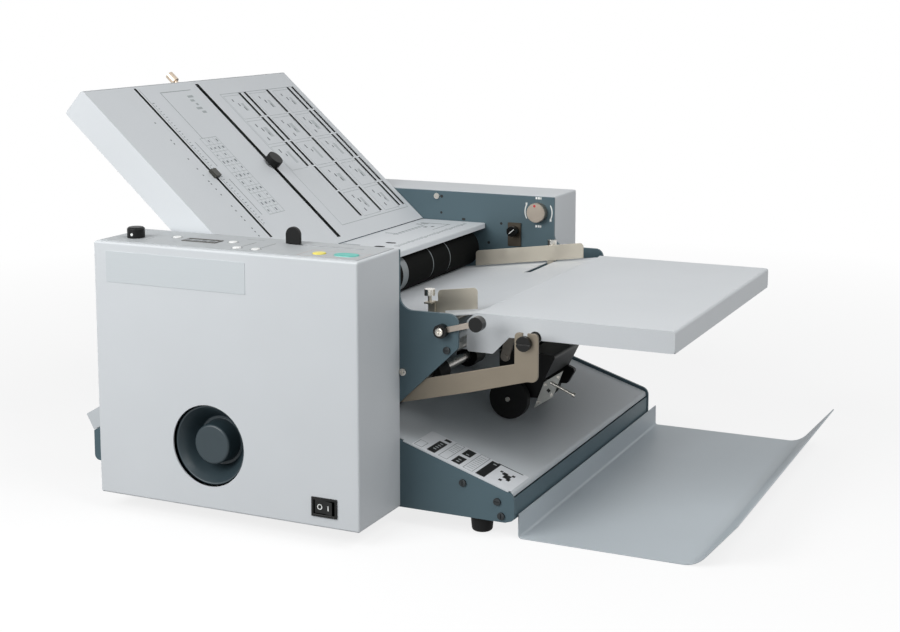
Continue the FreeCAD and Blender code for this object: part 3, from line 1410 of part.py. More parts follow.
bracket_y = carrier_front_y - bracket_sheet
bracket = slab([on_bracket(0, 0), on_bracket(1, 0), on_bracket(1, 1), on_bracket(0, 1)],
               bracket_y, carrier_front_y)
rivets = []
for across_share in (bracket_rivet_share, 1 - bracket_rivet_share):
    for down_share in (bracket_rivet_share, 1 - bracket_rivet_share):
        rivets.append(rod_y(on_bracket(across_share, down_share), rivet_radius,
                            bracket_y - rivet_height, bracket_y))
finger_rod_y = bracket_y - finger_rod_radius + finger_rod_seat
rod_way = V(math.cos(math.radians(finger_rod_angle)), 0, -math.sin(math.radians(finger_rod_angle)))
rod_start = V(finger_rod_x, finger_rod_y, finger_rod_z)
finger_rod = Part.makeCylinder(finger_rod_radius, finger_rod_length, rod_start, rod_way)
finger_bead = Part.makeCylinder(finger_bead_radius, finger_bead_length,
                                rod_start + rod_way * finger_rod_length, rod_way)
save("wheel_bracket", fused([bracket, finger_rod, finger_bead] + rivets))

wheels = []
for side in (-1, 1):
    middle = centre_y + side * press_wheel_offset
    wheels.append(ring_y(wheel_place, press_wheel_radius, press_axle_radius,
                         middle - press_wheel_width / 2, middle + press_wheel_width / 2))
save("press_wheels", *wheels)
axle_half = press_wheel_offset + press_wheel_width / 2 + press_axle_proud
save("wheel_axle", rod_y(wheel_place, press_axle_radius, centre_y - axle_half, centre_y + axle_half))

tray_floor_z = -foot_height + tray_sheet
flap_x = tray_left_x + tray_floor_length
tray_tip_z = tray_floor_z + tray_flap_length * tray_sin
tray = slab(bent_sheet([
    (tray_left_x + tray_sheet, tray_floor_z - tray_sheet + tray_wall_height),
    (tray_left_x + tray_sheet, tray_floor_z, tray_fold_radius),
    (flap_x, tray_floor_z, tray_bend_radius),
    (tray_tip_x, tray_tip_z)], tray_sheet), tray_front_y, tray_front_y + tray_width)
save("delivery_tray", tray)

# Clamp lever on the front plate, and the knobs on the rear plate
boss = rod_y((clamp_x, clamp_z), clamp_boss_radius, front_plate_y - clamp_boss_height, front_plate_y - hair_gap)
lean = math.atan2(clamp_knob_z - clamp_z, clamp_knob_x - clamp_x)
side_x = -math.sin(lean) * clamp_arm_width / 2
side_z = math.cos(lean) * clamp_arm_width / 2
lever_arm = slab([(clamp_x + side_x, clamp_z + side_z), (clamp_x - side_x, clamp_z - side_z),
                  (clamp_knob_x - side_x, clamp_knob_z - side_z), (clamp_knob_x + side_x, clamp_knob_z + side_z)],
                 front_plate_y - hair_gap - clamp_arm_thickness, front_plate_y - hair_gap)
lever_knob = rod_y((clamp_knob_x, clamp_knob_z), clamp_knob_radius,
                   front_plate_y - hair_gap - clamp_knob_height, front_plate_y - hair_gap)
lever_bore = rod_y((clamp_x, clamp_z), clamp_screw_radius + running_clearance, 0, inner_front_y)
save("clamp_lever", fused([boss, lever_arm, lever_knob]).cut(lever_bore))
clamp_head_y = front_plate_y - clamp_boss_height - hair_gap
clamp_screw = fused([
    rod_y((clamp_x, clamp_z), clamp_screw_radius, clamp_head_y - clamp_screw_height, inner_front_y),
    rod_y((clamp_x, clamp_z), clamp_screw_radius + clamp_screw_height,
          clamp_head_y - clamp_screw_height, clamp_head_y)])

pressure_place = (pressure_x, pressure_z)
knob_front_y = inner_rear_y - hair_gap - pressure_knob_height
pressure_knob = rod_y(pressure_place, pressure_knob_radius, knob_front_y, inner_rear_y - hair_gap)
for groove in range(pressure_groove_count):
    groove_place = around(pressure_place, groove * 360.0 / pressure_groove_count,
                          pressure_knob_radius + pressure_groove_depth / 2)
    pressure_knob = pressure_knob.cut(rod_y(groove_place, pressure_groove_depth, knob_front_y - overrun,
                                            inner_rear_y + overrun))
pressure_stem = rod_y(pressure_place, pressure_stem_radius, inner_rear_y - hair_gap - overrun,
                      rear_plate_back_y + bush_flange)
save("pressure_knob", fused([pressure_knob, pressure_stem]))

catch_place = (catch_x, catch_z)
catch_plate = block(catch_x - catch_plate_width / 2, catch_x + catch_plate_width / 2,
                    inner_rear_y - catch_plate_sheet, inner_rear_y,
                    catch_z - catch_plate_drop, catch_z - catch_plate_drop + catch_plate_height)
catch_plate = catch_plate.cut(rod_y(catch_place, pressure_stem_radius + running_clearance,
                                    inner_rear_y - catch_plate_sheet - overrun, inner_rear_y + overrun))
save("frame_fittings", clamp_screw, catch_plate, hanger, mirrored(hanger), carrier_pin, *screws, *hinge_pins)
catch_front_y = inner_rear_y - catch_plate_sheet - hair_gap - catch_knob_height
catch_knob = fused([
    rod_y(catch_place, catch_knob_radius, catch_front_y, catch_front_y + catch_knob_height),
    rod_y(catch_place, pressure_stem_radius, catch_front_y, rear_plate_back_y + bush_flange)])
save("catch_knob", catch_knob)
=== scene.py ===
import json
import math

import bpy
from mathutils import Matrix, Vector


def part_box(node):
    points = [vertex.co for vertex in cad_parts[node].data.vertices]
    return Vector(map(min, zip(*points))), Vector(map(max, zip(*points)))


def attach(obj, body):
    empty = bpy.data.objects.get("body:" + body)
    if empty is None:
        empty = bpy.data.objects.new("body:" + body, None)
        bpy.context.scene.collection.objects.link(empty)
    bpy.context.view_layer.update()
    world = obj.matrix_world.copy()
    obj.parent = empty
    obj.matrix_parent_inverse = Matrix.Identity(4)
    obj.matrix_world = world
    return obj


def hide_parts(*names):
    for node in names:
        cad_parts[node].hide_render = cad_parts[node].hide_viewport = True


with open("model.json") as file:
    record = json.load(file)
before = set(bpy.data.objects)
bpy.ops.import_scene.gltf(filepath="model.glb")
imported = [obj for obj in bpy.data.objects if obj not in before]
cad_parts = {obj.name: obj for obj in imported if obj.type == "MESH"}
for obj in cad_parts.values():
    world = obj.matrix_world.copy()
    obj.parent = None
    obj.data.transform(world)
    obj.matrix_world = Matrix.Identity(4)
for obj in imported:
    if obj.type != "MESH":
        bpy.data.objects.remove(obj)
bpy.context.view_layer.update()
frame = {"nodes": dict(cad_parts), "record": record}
body_of_node = {}
for body, members in frame["record"]["behaviour"]["bodies"].items():
    for member in members:
        body_of_node[member] = body

# Camera and studio
# The machine is seen from its front right and a little from above, on a plain pale floor, in soft
# light from the front left and from high on the right. All places are millimetres from the front
# cover's lower right corner: x to the right, y to the back and z up.
mm = 0.001
cover_low, cover_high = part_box("front_cover")
corner = Vector((cover_high.x, cover_low.y, cover_low.z))


def at(x, y, z):
    """The place x to the right of, y behind and z above the front cover's corner, in the frame."""
    return corner + Vector((x, y, z)) * mm


def extent(node):
    """The low and the high corner of a CAD node's box, in mm from the front cover's corner."""
    low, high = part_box(node)
    return (low - corner) / mm, (high - corner) / mm


def colour(code):
    """An sRGB hex value as the linear colour that a shader takes."""
    shares = [int(code[i:i + 2], 16) / 255 for i in (0, 2, 4)]
    linear = [s / 12.92 if s <= 0.04045 else ((s + 0.055) / 1.055) ** 2.4 for s in shares]
    return (*linear, 1.0)


def add(tree, kind, inputs=None, **settings):
    """One shader node with its settings, and with each input set or linked."""
    made = tree.nodes.new("ShaderNode" + kind)
    for name, value in settings.items():
        setattr(made, name, value)
    for name, value in (inputs or {}).items():
        if isinstance(value, bpy.types.NodeSocket):
            tree.links.new(value, made.inputs[name])
        else:
            made.inputs[name].default_value = value
    return made


camera_place = (628.6, -1165.9, 477.1)
camera_turn = 24.87
camera_dip = 8.03
camera_lens = 62.32
camera_shift = -0.12
bpy.ops.object.camera_add(location=at(*camera_place),
                          rotation=(math.radians(90 - camera_dip), 0, math.radians(camera_turn)))
camera = bpy.context.object
camera.data.lens = camera_lens
camera.data.sensor_width = 36
camera.data.shift_y = camera_shift
bpy.context.scene.camera = camera
bpy.context.scene.view_settings.view_transform = "Standard"


def area_light(name, place, aim, metres, watts):
    """A square soft box, with its side in metres, that faces the place it is aimed at."""
    bpy.ops.object.light_add(type="AREA", location=at(*place))
    lamp = bpy.context.object
    lamp.name = name
    lamp.rotation_euler = (at(*aim) - at(*place)).to_track_quat("-Z", "Y").to_euler()
    lamp.data.size = metres
    lamp.data.energy = watts


middle = (-30, 260, 160)
key_place = (-600, -1200, 960)
key_metres = 1.1
key_watts = 23.0
side_place = (1300, -100, 1550)
side_metres = 1.2
side_watts = 17.0
area_light("key_light", key_place, middle, key_metres, key_watts)
area_light("side_light", side_place, middle, side_metres, side_watts)


def bright_rays(tree):
    """1 for what the camera sees straight, in a shiny face or through glass, and 0 for all other light."""
    path = add(tree, "LightPath")
    shown = add(tree, "Math", {0: path.outputs["Is Camera Ray"], 1: path.outputs["Is Transmission Ray"]},
                operation="MAXIMUM")
    return add(tree, "Math", {0: shown.outputs[0], 1: path.outputs["Is Glossy Ray"]},
               operation="MAXIMUM").outputs[0]


room_light = 0.28
world = bpy.data.worlds.new("studio")
bpy.context.scene.world = world
world.use_nodes = True
sky = world.node_tree
sky.nodes.clear()
plain = add(sky, "Background", {"Color": colour("f2f3f5"), "Strength": room_light})
white = add(sky, "Background", {"Color": (1, 1, 1, 1), "Strength": 1.0})
both = add(sky, "MixShader", {0: bright_rays(sky), 1: plain.outputs[0], 2: white.outputs[0]})
add(sky, "OutputWorld", {"Surface": both.outputs[0]})


def blank(name, **sockets):
    """A new material with one Principled shader, and its tree and shader."""
    material = bpy.data.materials.new(name)
    material.use_nodes = True
    tree = material.node_tree
    shader = tree.nodes["Principled BSDF"]
    for socket, value in sockets.items():
        shader.inputs[socket.replace("_", " ")].default_value = value
    return material, tree, shader


# The floor is matt white board. It keeps the machine's soft shadow, and what is seen of it turns to
# the white of the background with the distance, so that no edge of it shows.
floor_metres = 14
clear_from_metres = 0.55
clear_to_metres = 1.5
least_clear = 0.80
floor_board, tree, shader = blank("matt_white_board", Base_Color=colour("6c6e70"), Roughness=0.9)
place = add(tree, "TexCoord").outputs["Object"]
away = add(tree, "VectorMath", {0: place}, operation="LENGTH")
clear = add(tree, "MapRange", {"Value": away.outputs["Value"], "From Min": clear_from_metres,
                               "From Max": clear_to_metres, "To Min": least_clear, "To Max": 1.0})
lit = add(tree, "BsdfDiffuse", {"Color": (0.98, 0.98, 0.98, 1)})
glow = add(tree, "Emission", {"Color": (1, 1, 1, 1), "Strength": 1.0})
seen = add(tree, "MixShader", {0: clear.outputs["Result"], 1: lit.outputs[0], 2: glow.outputs[0]})
mixed = add(tree, "MixShader", {0: bright_rays(tree), 1: shader.outputs[0], 2: seen.outputs[0]})
tree.links.new(mixed.outputs[0], tree.nodes["Material Output"].inputs["Surface"])
bpy.ops.mesh.primitive_plane_add(size=floor_metres, location=(0, 0, 0))
floor = bpy.context.object
floor.name = "floor"
floor.data.materials.append(floor_board)


# Frame plates and base
# Two laser-cut steel plates with the bars, base and end plate between them carry everything. They are
# powder coated in dark slate, which has a soft sheen over a fine orange-peel skin.
def powder_coat(name, code, roughness=0.46):
    """Baked powder coat on steel: an even colour, a slight orange-peel skin and a soft sheen."""
    material, tree, shader = blank(name, Specular_IOR_Level=0.3)
    place = add(tree, "TexCoord").outputs["Object"]
    peel = add(tree, "TexNoise", {"Vector": place, "Scale": 1 / (1.6 * mm), "Detail": 3.0})
    cloud = add(tree, "TexNoise", {"Vector": place, "Scale": 1 / (90 * mm), "Detail": 2.0})
    speck = add(tree, "TexNoise", {"Vector": place, "Scale": 1 / (0.7 * mm), "Detail": 1.0})
    tone = add(tree, "MapRange", {"Value": cloud.outputs["Fac"], "To Min": 0.96, "To Max": 1.04})
    fleck = add(tree, "MapRange", {"Value": speck.outputs["Fac"], "To Min": 0.97, "To Max": 1.03})
    shade = add(tree, "Math", {0: tone.outputs["Result"], 1: fleck.outputs["Result"]},
                operation="MULTIPLY")
    paint = add(tree, "HueSaturation", {"Value": shade.outputs[0], "Color": colour(code)})
    gloss = add(tree, "MapRange", {"Value": peel.outputs["Fac"], "To Min": roughness - 0.07,
                                   "To Max": roughness + 0.07})
    skin = add(tree, "Bump", {"Height": peel.outputs["Fac"], "Strength": 0.10, "Distance": 0.2 * mm})
    tree.links.new(paint.outputs["Color"], shader.inputs["Base Color"])
    tree.links.new(gloss.outputs["Result"], shader.inputs["Roughness"])
    tree.links.new(skin.outputs["Normal"], shader.inputs["Normal"])
    return material


def only(piece):
    """Selects one piece and nothing else."""
    bpy.ops.object.select_all(action="DESELECT")
    piece.select_set(True)
    bpy.context.view_layer.objects.active = piece


def apply_all(piece):
    """Applies a piece's modifiers and then its place, so that it sits at the origin."""
    only(piece)
    for modifier in list(piece.modifiers):
        bpy.ops.object.modifier_apply(modifier=modifier.name)
    bpy.ops.object.transform_apply(location=True, rotation=True, scale=True)


def bevelled(piece, width, segments=2, angle=30):
    """Rounds a piece's sharp edges, and shades its flats flat and its rounds smooth."""
    bevel = piece.modifiers.new("eased", "BEVEL")
    bevel.width = width * mm
    bevel.segments = segments
    bevel.limit_method = "ANGLE"
    bevel.angle_limit = math.radians(angle)
    only(piece)
    bpy.ops.object.modifier_apply(modifier=bevel.name)
    bpy.ops.object.shade_smooth_by_angle(angle=math.radians(38))
    flat = piece.modifiers.new("flats", "WEIGHTED_NORMAL")
    flat.keep_sharp = True
    bpy.ops.object.modifier_apply(modifier=flat.name)


def dressed(node, material, edge=0.4):
    """A copy of a CAD node with its loose triangles joined and its edges eased, in its finish."""
    source = frame["nodes"][node]
    piece = source.copy()
    piece.data = source.data.copy()
    piece.name = node + "_piece"
    bpy.context.collection.objects.link(piece)
    piece.parent = None
    piece.matrix_world = Matrix.Identity(4)
    only(piece)
    bpy.ops.mesh.customdata_custom_splitnormals_clear()
    bpy.ops.object.mode_set(mode="EDIT")
    bpy.ops.mesh.select_all(action="SELECT")
    bpy.ops.mesh.remove_doubles(threshold=0.005 * mm)
    bpy.ops.mesh.dissolve_limited(angle_limit=math.radians(0.5))
    bpy.ops.object.mode_set(mode="OBJECT")
    bevelled(piece, edge)
    piece.data.materials.clear()
    piece.data.materials.append(material)
    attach(piece, body_of_node[node])
    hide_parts(node)
    return piece


slate_coat = powder_coat("powder_coat_slate", "4f636b")
for node in ("base_plates", "front_frame_plate", "rear_frame_plate"):
    dressed(node, slate_coat, 0.5)


# Front and rear cover
# Two folded steel boxes hide the drives. They are powder coated in pale grey. The front one carries a
# bare badge plate, a thin anodised sheet that is a shade darker than the paint.
def brushed_metal(name, code, roughness, smooth_along, metallic=1.0, scratch=0.5, contrast=0.11):
    """Metal whose fine marks of rolling, grinding or turning run along the named axes, x, y or z. The
    marks are scratch mm apart, coarser than real, so that they show as a silky break in the shine."""
    material, tree, shader = blank(name, Metallic=metallic)
    place = add(tree, "TexCoord").outputs["Object"]
    spread = [1 / (30 * mm) if axis in smooth_along else 1 / (scratch * mm) for axis in "xyz"]
    laid = add(tree, "Mapping", {"Vector": place, "Scale": spread})
    lines = add(tree, "TexNoise", {"Vector": laid.outputs["Vector"], "Scale": 1.0, "Detail": 4.0})
    smear = add(tree, "TexNoise", {"Vector": place, "Scale": 1 / (18 * mm), "Detail": 2.0})
    tone = add(tree, "MapRange", {"Value": lines.outputs["Fac"], "To Min": 1 - contrast,
                                  "To Max": 1 + contrast})
    cast = add(tree, "HueSaturation", {"Value": tone.outputs["Result"], "Color": colour(code)})
    worn = add(tree, "Math", {0: lines.outputs["Fac"], 1: smear.outputs["Fac"]}, operation="ADD")
    gloss = add(tree, "MapRange", {"Value": worn.outputs[0], "From Min": 0.6, "From Max": 1.4,
                                   "To Min": roughness - 0.09, "To Max": roughness + 0.09})
    marks = add(tree, "Bump", {"Height": lines.outputs["Fac"], "Strength": contrast, "Distance": 0.1 * mm})
    tree.links.new(cast.outputs["Color"], shader.inputs["Base Color"])
    tree.links.new(gloss.outputs["Result"], shader.inputs["Roughness"])
    tree.links.new(marks.outputs["Normal"], shader.inputs["Normal"])
    return material


def face_at(origin, across, up):
    """A flat face as a matrix: its first two axes lie in the face and its third stands out of it."""
    first = Vector(across).normalized()
    second = Vector(up).normalized()
    turn = Matrix((first, second, first.cross(second))).transposed().to_4x4()
    return Matrix.Translation(at(*origin)) @ turn


def fixed_on(piece, name, material, body):
    """Names a new piece, gives it its finish, and fixes it to the body that carries it."""
    piece.name = name
    piece.data.materials.clear()
    piece.data.materials.append(material)
    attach(piece, body)
    return piece


def printed(name, ink, body, face, marks, rise=0.06, corner_round=0.0, laid_on=None):
    """Thin flat marks on a face. Each has its middle along the face's two axes and its two sizes, in mm.
    They may be laid on a piece."""
    bpy.ops.object.select_all(action="DESELECT")
    bpy.ops.mesh.primitive_plane_add(size=mm)
    piece = bpy.context.object
    bpy.ops.object.mode_set(mode="EDIT")
    bpy.ops.mesh.delete(type="VERT")
    for across, up, width, height in marks:
        centre = (across * mm, up * mm, 0)
        bpy.ops.mesh.select_all(action="DESELECT")
        bpy.ops.mesh.primitive_plane_add(size=mm, location=centre)
        bpy.ops.transform.resize(value=(width, height, 1), center_override=centre)
    if corner_round:
        bpy.ops.mesh.select_all(action="SELECT")
        bpy.ops.mesh.bevel(offset=corner_round * mm, segments=4, affect="VERTICES")
    bpy.ops.object.mode_set(mode="OBJECT")
    piece.matrix_world = face
    if laid_on:
        lay_on(piece, laid_on)
    solid = piece.modifiers.new("rise", "SOLIDIFY")
    solid.thickness = rise * mm
    solid.offset = 1
    apply_all(piece)
    return fixed_on(piece, name, ink, body)


pale_coat = powder_coat("powder_coat_pale_grey", "d0d4d7")
for node in ("front_cover", "rear_cover"):
    dressed(node, pale_coat, 0.5)

front_face = face_at((0, 0, 0), (1, 0, 0), (0, 0, 1))
badge_sheet = brushed_metal("anodised_aluminium_satin", "c4cacd", 0.5, "x", metallic=0.1, contrast=0.03)
badge_x, badge_z = -190, 220
badge_width, badge_height = 152, 29
badge_thickness = 0.4
badge_corner = 1.2
printed("badge_plate", badge_sheet, "frame", front_face,
        [(badge_x, badge_z, badge_width, badge_height)], rise=badge_thickness, corner_round=badge_corner)


# Feet
# Four tapered feet of moulded black rubber are screwed under the base.
def grained(name, code, roughness, grain, depth, **sockets):
    """A moulded or painted skin: one colour with slight clouds, and a fine grain of the given size."""
    material, tree, shader = blank(name, **sockets)
    place = add(tree, "TexCoord").outputs["Object"]
    spark = add(tree, "TexNoise", {"Vector": place, "Scale": 1 / (grain * mm), "Detail": 3.0})
    cloud = add(tree, "TexNoise", {"Vector": place, "Scale": 1 / (14 * mm), "Detail": 2.0})
    tone = add(tree, "MapRange", {"Value": cloud.outputs["Fac"], "To Min": 0.92, "To Max": 1.08})
    cast = add(tree, "HueSaturation", {"Value": tone.outputs["Result"], "Color": colour(code)})
    gloss = add(tree, "MapRange", {"Value": spark.outputs["Fac"], "To Min": roughness - 0.08,
                                   "To Max": roughness + 0.08})
    skin = add(tree, "Bump", {"Height": spark.outputs["Fac"], "Strength": depth, "Distance": 0.2 * mm})
    tree.links.new(cast.outputs["Color"], shader.inputs["Base Color"])
    tree.links.new(gloss.outputs["Result"], shader.inputs["Roughness"])
    tree.links.new(skin.outputs["Normal"], shader.inputs["Normal"])
    return material


moulded_rubber = grained("moulded_black_rubber", "161717", 0.66, 0.9, 0.3, Specular_IOR_Level=0.2)
dressed("rubber_feet", moulded_rubber, 0.6)


# Bars, rollers and drive inside
# Turned steel bars tie the plates. The fold rollers are ground steel with milled gears, and the motor
# is a zinc-plated can. Belts of black rubber join the pulleys, and bushes are sintered bronze.
turned_steel = brushed_metal("turned_steel", "b2b1ac", 0.30, "xz", contrast=0.04)
zinc_plate = brushed_metal("zinc_plated_steel", "a9aaa6", 0.38, "y", scratch=1.2)
sintered_bronze = brushed_metal("sintered_bronze", "8f7a58", 0.45, "xz", metallic=0.9)
drawn_alloy = brushed_metal("drawn_aluminium", "b9bbba", 0.42, "y")
for node in ("tie_bars", "table_pegs", "fold_roller_1", "fold_roller_2", "fold_roller_3",
             "fold_roller_4", "exit_shaft", "motor_shaft"):
    dressed(node, turned_steel, 0.25)
dressed("main_motor", zinc_plate, 0.4)
dressed("shaft_bushes", sintered_bronze, 0.2)
dressed("drive_belts", moulded_rubber, 0.2)
dressed("exit_rollers", moulded_rubber, 0.5)
for node in ("fold_table_1_chute", "fold_table_2_chute", "fold_stop_2"):
    dressed(node, drawn_alloy, 0.15)


# Handwheel
# A dished wheel of slate ABS turns behind the round hole in the front cover, to clear a jam by hand.
# It is moulded with a fine spark grain, so its walls shine softly.
slate_abs = grained("moulded_abs_slate", "2c3a40", 0.42, 0.7, 0.12)
dressed("handwheel", slate_abs, 0.7)


# Mains switch
# A snap-in switch of glossy black ABS. Its rocker carries a ring and a bar in white print.
def ring(name, material, body, face, centre, outer, inner=0.0, rise=0.06, arc=None, laid_on=None):
    """A flat ring or disc on a face, or the part of it between two angles. It may be laid on a piece."""
    bpy.ops.object.select_all(action="DESELECT")
    bpy.ops.mesh.primitive_circle_add(vertices=48, radius=outer * mm, fill_type="NGON")
    piece = bpy.context.object
    if inner:
        bpy.ops.object.mode_set(mode="EDIT")
        bpy.ops.mesh.inset(thickness=(outer - inner) * mm)
        bpy.ops.mesh.delete(type="FACE")
        bpy.ops.object.mode_set(mode="OBJECT")
    if arc:
        for part in piece.data.polygons:
            turn = math.degrees(math.atan2(part.center.y, part.center.x)) % 360
            part.select = not arc[0] <= turn <= arc[1]
        bpy.ops.object.mode_set(mode="EDIT")
        bpy.ops.mesh.delete(type="FACE")
        bpy.ops.object.mode_set(mode="OBJECT")
    piece.matrix_world = face @ Matrix.Translation(Vector((*centre, 0)) * mm)
    if laid_on:
        lay_on(piece, laid_on)
    solid = piece.modifiers.new("rise", "SOLIDIFY")
    solid.thickness = rise * mm
    solid.offset = 1
    apply_all(piece)
    return fixed_on(piece, name, material, body)


def lay_on(piece, target):
    """Drops a flat mark along its own third axis on the piece below it."""
    drop = piece.modifiers.new("laid", "SHRINKWRAP")
    drop.target = target
    drop.wrap_method = "PROJECT"
    drop.use_project_x = False
    drop.use_project_y = False
    drop.use_project_z = True
    drop.use_negative_direction = True
    drop.use_positive_direction = True
    drop.offset = 0.03 * mm


gloss_abs = grained("glossy_black_abs", "0c0d0d", 0.24, 1.2, 0.04, Specular_IOR_Level=0.3)
white_ink = grained("white_screen_ink", "e6e8e6", 0.5, 0.5, 0.05)
dressed("switch_frame", gloss_abs, 0.5)
rocker = dressed("rocker_switch", gloss_abs, 0.5)
rocker_z = 19.0
ring_mark_x, ring_mark_outer, ring_mark_inner = -39.8, 2.6, 1.7
bar_mark_x, bar_mark_width, bar_mark_height = -30.6, 1.1, 4.6
ring("rocker_ring_mark", white_ink, "rocker_switch", front_face, (ring_mark_x, rocker_z),
     ring_mark_outer, ring_mark_inner, laid_on=rocker)
printed("rocker_bar_mark", white_ink, "rocker_switch", front_face,
        [(bar_mark_x, rocker_z, bar_mark_width, bar_mark_height)], laid_on=rocker)


# Control panel
# A screen-printed polycarbonate film with the display's dark window covers the front cover's top. The
# push buttons, the knob and the feed lever come up through it.
def tinted(piece, material, chosen):
    """Gives another finish to the faces whose middle, in mm from the corner, is chosen."""
    piece.data.materials.append(material)
    for part in piece.data.polygons:
        if chosen(*((part.center - corner) / mm)):
            part.material_index = len(piece.data.materials) - 1


panel_film = grained("matt_polycarbonate_film", "b3b7b9", 0.5, 0.8, 0.08, Specular_IOR_Level=0.25)
smoked_window = grained("smoked_acrylic", "4c4b47", 0.3, 1.5, 0.03)
dark_digit = grained("dark_display_glass", "0c0f0f", 0.12, 2.0, 0.01)
grey_ink = grained("grey_screen_ink", "858a8b", 0.55, 0.6, 0.05)
rose_ink = grained("rose_grey_screen_ink", "b4a5a2", 0.55, 0.6, 0.05)
display_rise = 0.8
display_top = extent("control_panel")[1].z
panel_z = display_top - display_rise
panel = dressed("control_panel", panel_film, 0.12)
tinted(panel, smoked_window, lambda x, y, z: z > panel_z + 0.02)
panel_face = face_at((0, 0, panel_z), (1, 0, 0), (0, 1, 0))
digits = [(-197.5 + 8.6 * number, 35.5, 6.0, 5.5) for number in range(4)]
printed("display_digits", dark_digit, "frame", face_at((0, 0, display_top), (1, 0, 0), (0, 1, 0)),
        digits, corner_round=0.8)
leads = [(-134, 38, 1.3, 28), (-114, 39, 1.3, 30), (-238, 31, 0.8, 13), (-142, 65, 19, 0.9)]
printed("panel_lead_lines", grey_ink, "frame", panel_face, leads)


def box_lines(start, near, end, far, width=0.6):
    """The four thin lines of a frame, from one corner to the other along the face's two axes."""
    middle_s, middle_y = (start + end) / 2, (near + far) / 2
    return [(middle_s, near, end - start, width), (middle_s, far, end - start, width),
            (start, middle_y, width, far - near), (end, middle_y, width, far - near)]


button_frame = box_lines(-66, 11, -7, 39, 0.7)
printed("panel_button_frame", rose_ink, "frame", panel_face, button_frame)

white_abs = grained("moulded_abs_white", "f0f1ef", 0.35, 0.8, 0.06)
yellow_abs = grained("moulded_abs_yellow", "f0e05a", 0.35, 0.8, 0.06)
teal_abs = grained("moulded_abs_teal", "2fb3a6", 0.35, 0.8, 0.06)
pale_teal_abs = grained("moulded_abs_pale_teal", "a9dcd3", 0.4, 0.8, 0.06)
rim_outer, rim_inner = 5.6, 5.1
buttons = {"panel_button_1": (-218, 47), "panel_button_2": (-154, 44), "panel_button_3": (-134, 19),
           "panel_button_4": (-114, 19)}
for button, centre in buttons.items():
    dressed(button, white_abs, 0.5)
    ring(button + "_rim", grey_ink, "frame", panel_face, centre, rim_outer, rim_inner)
dressed("stop_button", yellow_abs, 0.5)
start_button = dressed("start_button", teal_abs, 0.6)
tinted(start_button, pale_teal_abs, lambda x, y, z: z < panel_z + 0.3)

fluted_abs = grained("moulded_abs_black", "111212", 0.42, 0.6, 0.15, Specular_IOR_Level=0.2)
dressed("control_knob", fluted_abs, 0.4)
control_knob_x, control_knob_y = -253, 30
knob_side = 8.45
dot_z = 247.5
dot_radius = 1.3
dot_turn = Vector((0.129, -0.992, 0))
dot_place = (control_knob_x + knob_side * dot_turn.x, control_knob_y + knob_side * dot_turn.y, dot_z)
ring("control_knob_dot", white_ink, "control_knob",
     face_at(dot_place, (-dot_turn.y, dot_turn.x, 0), (0, 0, 1)), (0, 0), dot_radius)
dressed("feed_lever", fluted_abs, 0.6)


# Upper fold table
# A folded steel case with slots punched down its slope. A stop bar slides in its channel, held by the
# black knob. A scale and frames of thin lines are screen printed round the slots.
table_coat = powder_coat("powder_coat_light_grey", "d6dadd")
# Black that paints the shade seen in slots and small holes.
shade_black = grained("painted_shade_black", "0b0c0c", 0.6, 0.8, 0.1)
slope = math.radians(41.7)
table_1_top = Vector((-353.6, 0, 377.04))
table_1_length = 252.6
table_sheet = 1.45
slot_area_near, slot_area_far = 87, 467
down_1 = Vector((math.cos(slope), 0, -math.sin(slope)))
out_1 = Vector((math.sin(slope), 0, math.cos(slope)))


def in_slot_shade(x, y, z):
    """Whether a place lies in a slot's cut edge in the table's upper sheet: painted shade, in black."""
    away = Vector((x, y, z)) - table_1_top
    within = 2 < away.dot(down_1) < table_1_length - 2 and slot_area_near < y < slot_area_far
    return within and -table_sheet < away.dot(out_1) < -0.02


upper_case = dressed("fold_table_1_case", table_coat, 0.3)
# The slots' cut edges are painted black: painted shade, so that the slots read dark.
tinted(upper_case, shade_black, in_slot_shade)
stop_bar = dressed("fold_stop_1", drawn_alloy, 0.2)
olive_abs = grained("moulded_abs_olive_black", "2b2b25", 0.42, 0.7, 0.12)
tinted(stop_bar, olive_abs, lambda x, y, z: (Vector((x, y, z)) - table_1_top).dot(out_1) > -1.6)
dressed("stop_knob_1", fluted_abs, 0.9)
warm_knurl = brushed_metal("knurled_nickel_plate", "c8b9a8", 0.34, "x", scratch=0.7)
dressed("fine_adjust_screw", warm_knurl, 0.25)

table_1_face = face_at(table_1_top, down_1, (0, 1, 0))
line_ink = grained("slate_grey_screen_ink", "7c8487", 0.55, 0.6, 0.05)
faint_ink = grained("light_grey_screen_ink", "a4abad", 0.55, 0.6, 0.05)
dark_ink = grained("dark_grey_screen_ink", "4d5457", 0.55, 0.6, 0.05)

dots = [(s, 148.6, 1.8, 1.6) for s in (54.7, 80.2, 85.3, 107.5, 121.9, 131.2, 139.8, 143.8, 151.3, 159.2,
                                       175.6, 182.1, 190.6, 195.8, 207.1, 211.8, 217.6)]
printed("table_1_stop_dots", dark_ink, "frame", table_1_face, dots)
ticks = [(28 + 4.2 * number, 174.4 + 0.5 * (number % 3), 1.0, 3.4 if number % 5 == 0 else 2.0)
         for number in range(43)]
rules = [(66, 171.0, 118, 0.5), (173, 171.0, 68, 0.5), (105, 183.5, 36, 0.9), (168, 183.5, 52, 0.9),
         (49, 201, 70, 0.7), (14.5, 229, 0.7, 56)]
printed("table_1_scale", line_ink, "frame", table_1_face, ticks + rules)
grid = box_lines(84, 196, 196, 226)
for number in range(1, 11):
    grid.append((84 + 10.2 * number, 211, 0.4, 30))
for number in range(1, 4):
    grid.append((140, 196 + 7.5 * number, 112, 0.4))
printed("table_1_grid", faint_ink, "frame", table_1_face, grid)
cells = [(89 + 10.2 * row, 199.8 + 7.5 * column, 4.0 - (row + column) % 3, 2.2 + (row * column) % 2)
         for row in range(11) for column in range(4) if (3 * row + 2 * column) % 4]
printed("table_1_grid_signs", line_ink, "frame", table_1_face, cells)
